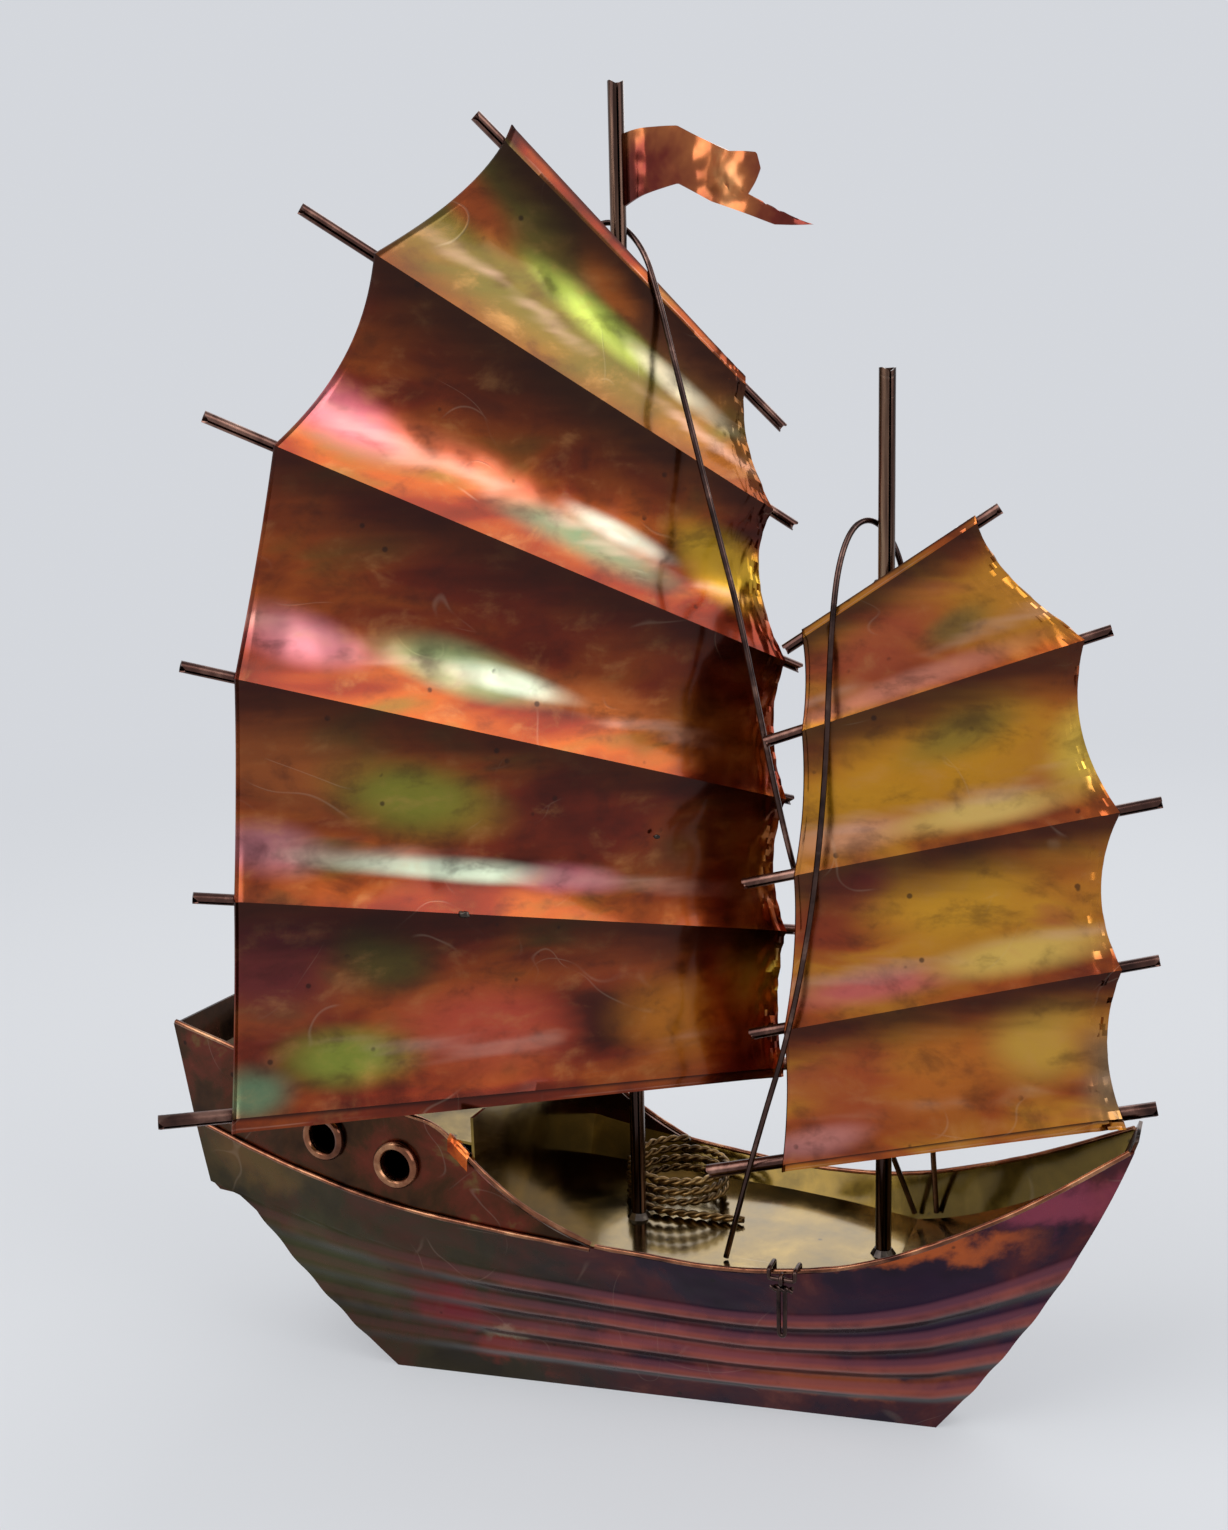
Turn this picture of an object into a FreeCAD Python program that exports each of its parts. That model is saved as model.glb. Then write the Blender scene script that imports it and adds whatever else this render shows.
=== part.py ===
"""Copper junk: a two-masted sailing-ship ornament of rolled tube, creased sheet and wire.

Millimetres. +X is the bow, +Y is port, +Z is up. The origin is on the bottom plate's lower face,
under the main mast. Every plate of the hull is a strip of sheet trimmed by the same inner form.
"""
import FreeCAD
import Part

import math
import os

V = FreeCAD.Vector

# Driving dimensions of the sheet and tube stock
SHEET = 0.6
SAIL_SHEET = 0.4
MAST_RADIUS = 1.67
MAST_BORE = 1.25
SPAR_RADIUS = 1.15
SPAR_BORE = 0.8
SPAR_SIDES = 14
BOOM_RADIUS = 1.45
STAY_RADIUS = 0.6
WIRE_SIDES = 6
RIM_RADIUS = 0.5
SEAM_GAP = 0.3
SEAM_OFFSET = 0.35
SEATING = 0.05
FLAT_SHARE = math.cos(math.pi / WIRE_SIDES)

# Hull lines, as (x, value) at a few stations from stern to bow
HALF_BEAM = [(-102, 27.5), (-75, 31.5), (-45, 33.5), (-20, 32.3), (5, 29.5), (30, 27.2),
             (55, 23.2), (80, 16.0), (106, 5.4)]
SHEER = [(-102, 59.0), (-75, 52.5), (-45, 46.8), (-15, 43.4), (10, 41.0), (35, 40.3),
         (55, 43.2), (80, 53.0), (106, 68.0)]
BOTTOM_AFT = -51.0
BOTTOM_FORE = 66.5
BOTTOM_HALF_AFT = 20.0
BOTTOM_HALF_FORE = 4.3
BOW_PINCH = [(66.5, 4.3), (87, -5.0), (106, -12.0)]
BOW_PLATE_DEPTH = 1.15 * SHEET
STEM_MIDDLE = (88.0, 31.5)
STEM_TOP = (104.6, 67.6)
STERN_PROFILE = [(-51, 0), (-80, 36.3), (-84.5, 39.2), (-90.5, 39.3), (-92.5, 41.0), (-99.5, 77.5)]
# Where the transom's inner corners lie from its outer ones, in sheet thicknesses (x, z)
STERN_MITRES = [(1.3, 1.0), (0.4, 1.0), (0.0, 1.0), (1.0, 1.0), (1.0, 0.2), (1.0, 0.0)]
STERN_FOOT = 0.5 * SHEET

# Planking ribs: heights as shares of the side, and how far they stand out
RIB_HEIGHTS = [0.21, 0.36, 0.51, 0.66]
RIB_SPREAD = 0.065
RIB_DEPTH = 0.9
RIB_DEPTH_AFT = 0.45
AFT_STATION = -45.0
RIB_BLEND = 30.0
STATION_COUNT = 14
STATION_MARGIN = 1.0

# How far the wires stop short of the ends of the edges that they lie along
RIM_FOOT_GAP = 0.8
RIM_STEM_GAP = 1.6
WALE_STERN_GAP = 4.5

# Decks, bulkhead and the raised quarter panels
DECK_TOP = 34.4
DECK_RISE_START = 58.0
DECK_RISE_MIDDLE = (79.0, 43.2)
DECK_RISE_END = (100.0, 59.5)
BULKHEAD_X = -24.0
BULKHEAD_TOP = 66.3
POOP_DECK_FORE = 61.0
POOP_DECK_AFT = 68.5
POOP_DECK_STERN_GAP = 1.9
QUARTER_FOOT_X = 1.0
QUARTER_SWEEP = (-14.5, 48.4)
QUARTER_KNEE = (-28.2, 60.6)
QUARTER_SHOULDER = (-32.2, 63.8)
QUARTER_TOP_FORE = (-38.0, 65.2)
QUARTER_TOP_AFT = (-99.5, 77.5)
QUARTER_TRIM_FOOT = 30.0
QUARTER_FLARE = 0.8
PORTHOLES = [(-40.9, 54.6), (-58.5, 58.2)]
PORTHOLE_RADIUS = 4.3
PORTHOLE_WIRE = 0.9
PORTHOLE_BORE = PORTHOLE_RADIUS - PORTHOLE_WIRE
PORTHOLE_SIDES = 12
PORTHOLE_SEAT = 0.2

# Masts
MAIN_MAST_X = 0.0
FORE_MAST_X = 54.4
MAIN_MAST_TOP = 272.0
FORE_MAST_TOP = 214.2
COLLAR_RADIUS = 2.7
COLLAR_HEIGHT = 1.3
COLLAR_TOP = 1.85
COLLAR_SIDES = 10
COLLAR_BORE_SIDES = 14

# Sails: the swing about the mast, the ridge plane in front of it and the spars.
# A spar is (u, height) at its aft tip and at its forward tip, u measured forward of the mast.
MAIN_SWING = 40.0
FORE_SWING = 8.0
RIDGE_NEST = 1.07
RIDGE_SLACK = 0.02
BELLY_FLATS = 5
BELLY_LOW = 0.08

MAIN_SPARS = {
    "main_yard": ((-29.3, 263.5), (34.4, 204.6)),
    "main_batten_1": ((-63.3, 245.3), (37.0, 184.3)),
    "main_batten_2": ((-83.2, 207.5), (38.1, 154.1)),
    "main_batten_3": ((-90.3, 161.2), (36.0, 125.5)),
    "main_batten_4": ((-90.8, 116.2), (37.0, 96.4)),
    "main_boom": ((-100.2, 71.9), (36.0, 66.0)),
}
FORE_SPARS = {
    "fore_yard": ((-19.5, 160.6), (21.3, 187.3)),
    "fore_batten_1": ((-23.6, 142.2), (42.1, 164.3)),
    "fore_batten_2": ((-28.3, 113.0), (52.0, 131.7)),
    "fore_batten_3": ((-27.1, 81.3), (52.5, 100.8)),
    "fore_boom": ((-36.3, 50.8), (52.9, 71.0)),
}
# The sheet's corners down each edge, and how far each edge is cut in between two of them.
# The belly is a share of the height between two spars, at a few places along them.
MAIN_HEAD = ((-22.5, 261.1), (25.2, 214.4))
MAIN_FOOT = ((-86.3, 68.8), (32.6, 64.5))
MAIN_AFT_EDGE = [(-22.5, 261.1), (-50.0, 236.5), (-70.6, 200.2), (-80.4, 159.5), (-83.0, 114.8),
                 (-86.3, 68.8)]
MAIN_AFT_SCALLOPS = [3.6, 4.2, 0.8, 0.6, 0.6]
MAIN_FORE_EDGE = [(25.2, 214.4), (31.1, 188.8), (33.8, 157.2), (33.7, 128.1), (33.5, 97.1),
                  (32.6, 64.5)]
MAIN_FORE_SCALLOPS = [2.2, 3.6, 2.0, 2.0, 0.8]
MAIN_BELLY = [(-92, 0.08), (-44, 0.09), (0, 0.055), (38, 0.082)]

FORE_HEAD = ((-15.7, 164.3), (16.8, 185.6))
FORE_FOOT = ((-20.2, 53.4), (46.9, 67.9))
FORE_AFT_EDGE = [(-15.7, 164.3), (-15.8, 143.9), (-17.5, 114.6), (-19.7, 83.2), (-20.2, 53.4)]
FORE_AFT_SCALLOPS = [0.6, 0.8, 0.8, 0.6]
FORE_FORE_EDGE = [(16.8, 185.6), (37.1, 163.5), (44.3, 130.7), (45.5, 99.4), (46.9, 67.9)]
FORE_FORE_SCALLOPS = [3.4, 3.7, 3.5, 2.9]
FORE_BELLY = [(-26, 0.08), (0, 0.06), (24, 0.09), (52, 0.1)]

# Pennant on the main mast: wave in plan, outline in elevation
PENNANT_ROOT = 1.7
PENNANT_LENGTH = 39.3
PENNANT_WAVE = 2.0
PENNANT_WAVES = 2.0
PENNANT_CREASES = 16
PENNANT_OUTLINE = [(PENNANT_ROOT, 262.0), (12.5, 262.4), (23.7, 256.3), (29.1, 255.6), (30.3, 249.6),
                   (40.2, 243.4), (39.8, 241.0), (32.2, 242.2), (19.5, 247.6), (12.6, 251.6),
                   (PENNANT_ROOT, 248.2)]
PENNANT_SHEET = 0.4

# Routes of the stays, chosen point by point along the bent wire
MAIN_STAY = [(-7.0, -7.2, 212.2), (-8.4, -5.4, 221.0), (-9.4, -3.0, 230.6), (-8.8, -0.6, 239.2),
             (-6.4, 1.2, 244.6), (-3.0, 2.4, 246.2), (1.2, 2.4, 244.0), (5.6, 0.2, 238.8),
             (8.4, -1.0, 231.0), (11.0, -1.7, 221.6), (14.4, -2.4, 209.0), (18.0, -3.0, 195.6),
             (21.8, -3.5, 181.4), (25.6, -3.8, 167.4), (28.8, -4.0, 152.2), (31.0, -3.8, 141.0),
             (33.4, -2.8, 128.0), (36.2, -1.2, 114.4), (39.7, 2.2, 98.2), (43.8, 7.0, 81.0),
             (48.2, 11.8, 64.6), (53.2, 15.8, 48.8), (57.5, 17.4, 36.2)]
FORE_STAY = [(24.4, -13.4, 34.9), (28.2, -10.6, 52.0), (32.2, -10.4, 66.4), (36.4, -10.4, 80.4),
             (40.4, -10.2, 99.0), (43.0, -10.0, 117.0), (44.8, -9.8, 138.0), (45.4, -9.6, 155.0),
             (45.9, -8.8, 167.6), (46.6, -6.8, 177.4), (48.2, -3.4, 184.0), (50.8, 0.1, 186.0),
             (53.8, 2.8, 183.6), (56.6, 3.2, 177.6), (58.2, 5.0, 167.0), (59.4, 8.2, 150.0),
             (60.2, 11.6, 126.0), (60.6, 14.2, 100.0), (60.6, 15.8, 75.0), (61.2, 16.6, 54.0),
             (62.3, 17.0, 37.2)]

# Rope coil on the deck, with its free tail
COIL_CENTRE = (4.6, 13.1)
COIL_RADIUS = 10.9
COIL_WIRE = 0.95
COIL_PITCH = 2.35
COIL_TURNS = 3.5
COIL_START = -85.0
COIL_TAIL = 17.5
COIL_SIDES = 6
COIL_LIFT = 0.02

# Anchor on its hanger at the starboard rail
ANCHOR_X = 40.5
ANCHOR_WIRE = 0.45
ANCHOR_CLEARANCE = 0.05
HANGER_HALF_WIDTH = 2.6
HANGER_INSIDE = 2.0
HANGER_OUTSIDE = 2.1
HANGER_DROP = 1.4
ANCHOR_PIN_DROP = 1.2
ANCHOR_KNOT_DROP = 1.9
ANCHOR_LEG_DROP = 11.2
ANCHOR_LEG_SPACING = 1.3
ANCHOR_STOCK = 4.4
ANCHOR_KNOT = 1.6


def curve_value(stations, x):
    """Smooth curve through a few stations, straight on past its ends."""
    last = len(stations) - 1
    index = 0
    while index < last - 1 and x > stations[index + 1][0]:
        index += 1
    x0, y0 = stations[index]
    x1, y1 = stations[index + 1]
    span = x1 - x0
    chord = (y1 - y0) / span

    def slope(i):
        if i == 0 or i == last:
            return None
        (xa, ya), (xb, yb), (xc, yc) = stations[i - 1:i + 2]
        before = (yb - ya) / (xb - xa)
        after = (yc - yb) / (xc - xb)
        return (before * (xc - xb) + after * (xb - xa)) / (xc - xa)

    s0 = slope(index)
    s1 = slope(index + 1)
    s0 = s0 if s0 is not None else 1.5 * chord - 0.5 * s1
    s1 = s1 if s1 is not None else 1.5 * chord - 0.5 * s0
    t = (x - x0) / span
    if t < 0:
        return y0 + s0 * (x - x0)
    if t > 1:
        return y1 + s1 * (x - x1)
    return (y0 * (2 * t**3 - 3 * t**2 + 1) + span * s0 * (t**3 - 2 * t**2 + t)
            + y1 * (3 * t**2 - 2 * t**3) + span * s1 * (t**3 - t**2))


def stations(first, last, count):
    return [first + (last - first) * i / (count - 1) for i in range(count)]


HULL_STATIONS = stations(HALF_BEAM[0][0], HALF_BEAM[-1][0], STATION_COUNT)


def along_hull(curve, x):
    """Value on the sheet, which runs straight from one hull station to the next."""
    step = HULL_STATIONS[1] - HULL_STATIONS[0]
    index = min(max(int((x - HULL_STATIONS[0]) // step), 0), len(HULL_STATIONS) - 2)
    fore = HULL_STATIONS[index]
    share = (x - fore) / step
    return curve_value(curve, fore) * (1 - share) + curve_value(curve, fore + step) * share


def half_beam(x):
    return along_hull(HALF_BEAM, x)


def rail_height(x):
    """Top of the rolled rim."""
    return along_hull(SHEER, x)


def side_height(x):
    """Top edge of the side sheet, under the rim."""
    return rail_height(x) - 2 * RIM_RADIUS


def bottom_half(x):
    """Half width of the bottom plate, carried on past both of its ends."""
    if x > BOTTOM_FORE:
        return curve_value(BOW_PINCH, x)
    share = (x - BOTTOM_AFT) / (BOTTOM_FORE - BOTTOM_AFT)
    return BOTTOM_HALF_AFT + (BOTTOM_HALF_FORE - BOTTOM_HALF_AFT) * share


def side_point(x, share, outward):
    low = bottom_half(x)
    y = low + (half_beam(x) - low) * share + outward
    return V(x, -y, side_height(x) * share)


def side_wave(x):
    """Shares of the height and how far the sheet stands out there, from bottom to rail."""
    blend = min(1.0, max(0.0, (x - AFT_STATION) / RIB_BLEND))
    depth = RIB_DEPTH_AFT + (RIB_DEPTH - RIB_DEPTH_AFT) * blend
    wave = [(0.0, 0.0)]
    for height in RIB_HEIGHTS:
        wave += [(height - RIB_SPREAD, 0.0), (height, depth), (height + RIB_SPREAD, 0.0)]
    return wave + [(1.0, 0.0)]


def closed_wire(points):
    return Part.makePolygon(list(points) + [points[0]])


def stations_between(first, last):
    inner = [x for x in HULL_STATIONS if first + STATION_MARGIN < x < last - STATION_MARGIN]
    return [first] + inner + [last]


def mirrored(shape):
    return shape.mirror(V(0, 0, 0), V(0, 1, 0))


def prism_along_y(edges, reach=90.0):
    """Solid of an outline in the XZ plane, pushed through the whole beam."""
    face = Part.Face(Part.Wire(edges))
    face.translate(V(0, -reach, 0))
    return face.extrude(V(0, 2 * reach, 0))


def line(a, b):
    return Part.LineSegment(a, b).toShape()


def arc(a, middle, b):
    return Part.Arc(a, middle, b).toShape()


def at(point):
    """A point (x, z) of the side view."""
    return V(point[0], 0, point[1])


def chain(points):
    return [line(at(a), at(b)) for a, b in zip(points, points[1:])]


# Hull

STEM = ((BOTTOM_FORE, 0.0), STEM_MIDDLE, STEM_TOP)
OVERHEAD = 90.0
BEYOND = 100.0


def side_view():
    """Side view of the whole hull, open far above the rails."""
    edges = [line(at((BOTTOM_AFT, 0)), at((BOTTOM_FORE, 0)))]
    edges += [arc(at(STEM[0]), at(STEM[1]), at(STEM[2]))]
    edges += chain([STEM_TOP, (STEM_TOP[0], OVERHEAD), (STERN_PROFILE[-1][0], OVERHEAD)])
    edges += chain([(STERN_PROFILE[-1][0], OVERHEAD)] + STERN_PROFILE[::-1])
    return prism_along_y(edges)


def starboard_outside():
    """All the space outboard of the starboard side's inner face."""
    wires = []
    for x in HULL_STATIONS:
        low = side_point(x, 0.0, -SHEET)
        high = side_point(x, 1.0, -SHEET)
        below = low + (low - high) * 0.05
        top = V(x, high.y - QUARTER_FLARE, OVERHEAD + 1)
        wires.append(closed_wire([below, high, top, V(x, -BEYOND, top.z), V(x, -BEYOND, below.z)]))
    return Part.makeLoft(wires, True, True)


def hull_inside(whole):
    outside = starboard_outside()
    return whole.cut(outside).cut(mirrored(outside))


def hull_side(whole):
    """Starboard side: one sheet with its planking ribs pressed outward."""
    wires = []
    for x in HULL_STATIONS:
        wave = side_wave(x)
        outer = [side_point(x, share, out) for share, out in wave]
        inner = [side_point(x, share, out - SHEET) for share, out in reversed(wave)]
        wires.append(closed_wire(outer + inner))
    return Part.makeLoft(wires, True, True).common(whole)


def section(centre, across, up, radius, sides=WIRE_SIDES):
    """Wire's many-sided section with a flat on each side, as its closed outline."""
    corners = []
    for i in range(sides):
        turn = 2 * math.pi * (i + 0.5) / sides
        corners.append(centre + across * (radius * math.cos(turn)) + up * (radius * math.sin(turn)))
    return closed_wire(corners)


def section_area(radius, sides=WIRE_SIDES):
    return sides / 2.0 * math.sin(2 * math.pi / sides) * radius**2


def bead(places):
    """Bead of wire laid straight from place to place; a place is its centre and two directions."""
    return Part.makeLoft([section(*place, RIM_RADIUS) for place in places], True, True)


def hull_rim():
    """Rolled edge along the starboard rail, from the quarter panel to the stem."""
    places = []
    for x in stations_between(QUARTER_FOOT_X + RIM_FOOT_GAP, STEM_TOP[0] - RIM_STEM_GAP):
        centre = V(x, -half_beam(x) + SHEET / 2, rail_height(x) - RIM_RADIUS)
        places.append((centre, V(0, 1, 0), V(0, 0, 1)))
    return bead(places)


def wale():
    """Wire along the joint between the starboard side and its quarter panel."""
    places = []
    for x in stations_between(STERN_PROFILE[-1][0] + WALE_STERN_GAP, QUARTER_FOOT_X):
        centre = V(x, -half_beam(x) - RIM_RADIUS, side_height(x))
        places.append((centre, V(0, 1, 0), V(0, 0, 1)))
    return bead(places)


def strip(points, thickness, inward):
    """Bent strip of sheet across the beam: its outer line in the side view, thickened."""
    shifted = [(p[0] + inward[0] * thickness, p[1] + inward[1] * thickness) for p in points]
    return prism_along_y(chain(points + shifted[::-1] + [points[0]]))


def bottom_plate(inside):
    return strip([(BOTTOM_AFT, 0), (BOTTOM_FORE, 0)], SHEET, (0, 1)).common(inside)


def bow_plate(inside):
    """Narrow raked plate between the two tips, bent to the stem's curve."""
    a, m, b = [at(p) for p in STEM]
    shift = V(-BOW_PLATE_DEPTH, 0, 0)
    edges = [arc(a, m, b), line(b, b + shift), arc(b + shift, m + shift, a + shift)]
    edges += [line(a + shift, a)]
    lifted = prism_along_y(edges).common(inside)
    return lifted.cut(strip([(BOTTOM_AFT, 0), (BOTTOM_FORE, 0)], SHEET, (0, 1)))


def stern_plate(inside):
    """Transom: raked below, stepped under the counter, upright above."""
    inner = []
    for (x, z), (along, up) in zip(STERN_PROFILE, STERN_MITRES):
        inner.append((x + along * SHEET, z + up * SHEET))
    outline = [(BOTTOM_AFT + STERN_FOOT, SHEET)] + STERN_PROFILE[1:]
    return prism_along_y(chain(outline + inner[::-1] + [outline[0]])).common(inside)


def deck_line(lift):
    start = at((DECK_RISE_START, DECK_TOP + lift))
    middle = at((DECK_RISE_MIDDLE[0], DECK_RISE_MIDDLE[1] + lift))
    end = at((DECK_RISE_END[0], DECK_RISE_END[1] + lift))
    return start, middle, end


def main_deck(inside):
    """Deck sheet: level in the waist, rising to the bow on one long curve."""
    s0, m0, e0 = deck_line(0.0)
    s1, m1, e1 = deck_line(-SHEET)
    aft = BULKHEAD_X + SHEET
    edges = [line(at((aft, DECK_TOP)), s0), arc(s0, m0, e0), line(e0, e1), arc(e1, m1, s1)]
    edges += [line(s1, at((aft, DECK_TOP - SHEET)))]
    edges += [line(at((aft, DECK_TOP - SHEET)), at((aft, DECK_TOP)))]
    return prism_along_y(edges).common(inside)


def poop_bulkhead(inside):
    low = DECK_TOP - SHEET
    edges = chain([(BULKHEAD_X, low), (BULKHEAD_X + SHEET, low), (BULKHEAD_X + SHEET, BULKHEAD_TOP),
                   (BULKHEAD_X, BULKHEAD_TOP), (BULKHEAD_X, low)])
    return prism_along_y(edges).common(inside)


def poop_deck(inside):
    aft = STERN_PROFILE[-1][0] + POOP_DECK_STERN_GAP
    slope = strip([(aft, POOP_DECK_AFT), (BULKHEAD_X, POOP_DECK_FORE)], SHEET, (0, -1))
    return slope.common(inside).cut(stern_plate(inside))


def quarter_edge():
    """Top edge of the raised quarter panel: a hollow sweep, a shoulder, then straight to the stern."""
    foot = at((QUARTER_FOOT_X, side_height(QUARTER_FOOT_X)))
    knee = at(QUARTER_KNEE)
    fore = at(QUARTER_TOP_FORE)
    top = at(QUARTER_TOP_AFT)
    return [arc(foot, at(QUARTER_SWEEP), knee), arc(knee, at(QUARTER_SHOULDER), fore), line(fore, top)]


def quarter_profile():
    heel = at((STERN_PROFILE[-1][0], QUARTER_TRIM_FOOT))
    low = at((QUARTER_FOOT_X, QUARTER_TRIM_FOOT))
    foot = at((QUARTER_FOOT_X, side_height(QUARTER_FOOT_X)))
    return quarter_edge() + [line(at(QUARTER_TOP_AFT), heel), line(heel, low), line(low, foot)]


def quarter_face_y(x, z):
    """Outer face of the starboard quarter panel."""
    base = side_height(x)
    return -half_beam(x) - QUARTER_FLARE * (z - base) / (OVERHEAD - base)


def quarter_rim():
    """Rolled bead along the starboard quarter panel's top edge."""
    places = []
    for edge, count in zip(quarter_edge(), (8, 5, 4)):
        for point in edge.discretize(count)[1 if places else 0:]:
            along = edge.tangentAt(edge.Curve.parameter(point))
            along = along if along.x < 0 else along * -1
            up = V(along.z, 0, -along.x)
            seat = V(point.x, quarter_face_y(point.x, point.z) + SHEET / 2, point.z)
            places.append((seat + up * RIM_RADIUS, V(0, 1, 0), up))
    return bead(places)


def quarter_panel(whole):
    """Starboard quarter panel, standing on the side's top edge, with its two portholes."""
    wires = []
    for x in [x for x in HULL_STATIONS if x < QUARTER_FOOT_X + HULL_STATIONS[1] - HULL_STATIONS[0]]:
        low = side_point(x, 1.0, 0.0)
        outer_top = V(x, low.y - QUARTER_FLARE, OVERHEAD)
        wall = V(0, SHEET, 0)
        wires.append(closed_wire([low, outer_top, outer_top + wall, low + wall]))
    panel = Part.makeLoft(wires, True, True).common(prism_along_y(quarter_profile())).common(whole)
    for x, z in PORTHOLES:
        opening = section(V(x, -BEYOND, z), V(1, 0, 0), V(0, 0, 1), PORTHOLE_BORE, PORTHOLE_SIDES)
        panel = panel.cut(Part.Face(opening).extrude(V(0, BEYOND, 0)))
    return panel


def ring(centre, normal, radius, wire, sides):
    """Closed ring of wire, straight from each of its places to the next."""
    start = normal.cross(V(0, 0, 1)).normalize()
    third = normal.cross(start)
    places = []
    for i in range(sides + 1):
        turn = 2 * math.pi * i / sides
        out = start * math.cos(turn) + third * math.sin(turn)
        places.append(section(centre + out * radius, out, normal, wire))
    halves = [places[:sides // 2 + 1], places[sides // 2:]]
    walls = [Part.makeLoft(half, True, True) for half in halves]
    return walls[0].fuse(walls[1]).removeSplitter()


def porthole_rings():
    """Raised wire rings round the two starboard portholes, seated on the panel."""
    rings = []
    for x, z in PORTHOLES:
        base = side_point(x, 1.0, 0.0)
        lean = QUARTER_FLARE / (OVERHEAD - base.z)
        along = (half_beam(x + 1) - half_beam(x - 1)) / 2
        normal = V(-along, -1, -lean).normalize()
        y = quarter_face_y(x, z) - PORTHOLE_WIRE * FLAT_SHARE - PORTHOLE_SEAT
        rings.append(ring(V(x, y, z), normal, PORTHOLE_RADIUS, PORTHOLE_WIRE, PORTHOLE_SIDES))
    return rings


# Masts and spars

def mast(x, top):
    """Rolled tube with its open seam facing starboard."""
    foot = V(x, 0, DECK_TOP)
    body = Part.makeCylinder(MAST_RADIUS, top - DECK_TOP, foot)
    body = body.cut(Part.makeCylinder(MAST_BORE, top - DECK_TOP, foot))
    corner = V(x - SEAM_GAP / 2 - SEAM_OFFSET, -MAST_RADIUS - SEATING, 0)
    return body.cut(Part.makeBox(SEAM_GAP, MAST_RADIUS, top, corner))


def mast_collar(x):
    """Solder fillet round the foot, as lumpy as it set."""
    level = (V(1, 0, 0), V(0, 1, 0))
    foot = section(V(x, 0, DECK_TOP), *level, COLLAR_RADIUS, COLLAR_SIDES)
    top = section(V(x, 0, DECK_TOP + COLLAR_HEIGHT), *level, COLLAR_TOP, COLLAR_SIDES)
    fillet = Part.makeLoft([foot, top], True, True)
    clear = MAST_RADIUS / math.cos(math.pi / COLLAR_BORE_SIDES)
    bore = Part.Face(section(V(x, 0, DECK_TOP), *level, clear, COLLAR_BORE_SIDES))
    return fillet.cut(bore.extrude(V(0, 0, COLLAR_HEIGHT)))


def swung(shape, mast_x, swing):
    """Turn a sail's piece from the centre plane to its place at the mast."""
    placed = shape.copy()
    placed.rotate(V(0, 0, 0), V(0, 0, 1), swing)
    placed.translate(V(mast_x, 0, 0))
    return placed


def spar_radius(name):
    return BOOM_RADIUS if name.endswith("boom") else SPAR_RADIUS


def spar(name, ends):
    """Open-ended many-sided tube; one of its edges lies against the front of the mast."""
    radius = spar_radius(name)
    depth = -(MAST_RADIUS + radius)
    (u0, h0), (u1, h1) = ends
    start = V(u0, depth, h0)
    along = V(u1, depth, h1) - start
    to_mast = V(0, 1, 0)
    across = to_mast.cross(along).normalize()
    wall, bore = [Part.Face(section(start, across, to_mast, size, SPAR_SIDES)).extrude(along)
                  for size in (radius, radius - SPAR_RADIUS + SPAR_BORE)]
    return wall.cut(bore)


def ridge_plane(name):
    """Depth of the sheet's front face where it is creased over a spar."""
    radius = spar_radius(name)
    return -(MAST_RADIUS + radius) - radius * RIDGE_NEST - RIDGE_SLACK - SAIL_SHEET


def height_on(ends, u):
    (u0, h0), (u1, h1) = ends
    return h0 + (h1 - h0) * (u - u0) / (u1 - u0)


def belly_wire(ridges, u, share):
    """Section of the sheet at u: a flat band, a shallow curve for each panel, a flat hem."""
    places = [V(u, depth, height_on(ends, u)) for ends, depth in ridges]
    front = [places[0]]
    for a, b in zip(places[1:-1], places[2:-1]):
        for step in range(BELLY_FLATS):
            t = step / BELLY_FLATS
            sag = 4 * share * (a.z - b.z) * t * (1 - t) * (1 + BELLY_LOW * (2 * t - 1))
            front.append(a + (b - a) * t + V(0, sag, 0))
    front += places[-2:]
    return closed_wire(front + [p + V(0, SAIL_SHEET, 0) for p in reversed(front)])


def scalloped(corners, cuts, inward):
    """Edge of the sheet through its corners, cut in by an arc between each two."""
    edges = []
    for a, b, cut in zip(corners, corners[1:], cuts):
        middle = V((a[0] + b[0]) / 2 + inward * cut, 0, (a[1] + b[1]) / 2)
        edges.append(arc(at(a), middle, at(b)))
    return edges


def sail(ridges, belly, aft_edge, aft_cuts, fore_edge, fore_cuts):
    """Creased sheet: bellied between the spars, then trimmed to its scalloped outline."""
    sheet = Part.makeLoft([belly_wire(ridges, u, share) for u, share in belly], True, True)
    edges = scalloped(aft_edge, aft_cuts, 1)
    edges += [line(at(aft_edge[-1]), at(fore_edge[-1]))]
    edges += scalloped(fore_edge[::-1], fore_cuts[::-1], -1)
    edges += [line(at(fore_edge[0]), at(aft_edge[0]))]
    return sheet.common(prism_along_y(edges, 12.0))


def raised(ends, lift):
    return tuple((u, h + lift) for u, h in ends)


def creases(head, spars, foot):
    """Lines of the sheet from head to foot, each with the depth of its front face."""
    lines = [(raised(head, 0.5), ridge_plane("yard"))]
    lines += [(ends, ridge_plane(name)) for name, ends in spars.items()]
    return lines + [(raised(foot, -0.5), ridge_plane("boom"))]


def main_sail():
    ridges = creases(MAIN_HEAD, MAIN_SPARS, MAIN_FOOT)
    return sail(ridges, MAIN_BELLY, MAIN_AFT_EDGE, MAIN_AFT_SCALLOPS, MAIN_FORE_EDGE, MAIN_FORE_SCALLOPS)


def fore_sail():
    ridges = creases(FORE_HEAD, FORE_SPARS, FORE_FOOT)
    return sail(ridges, FORE_BELLY, FORE_AFT_EDGE, FORE_AFT_SCALLOPS, FORE_FORE_EDGE, FORE_FORE_SCALLOPS)


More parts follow.
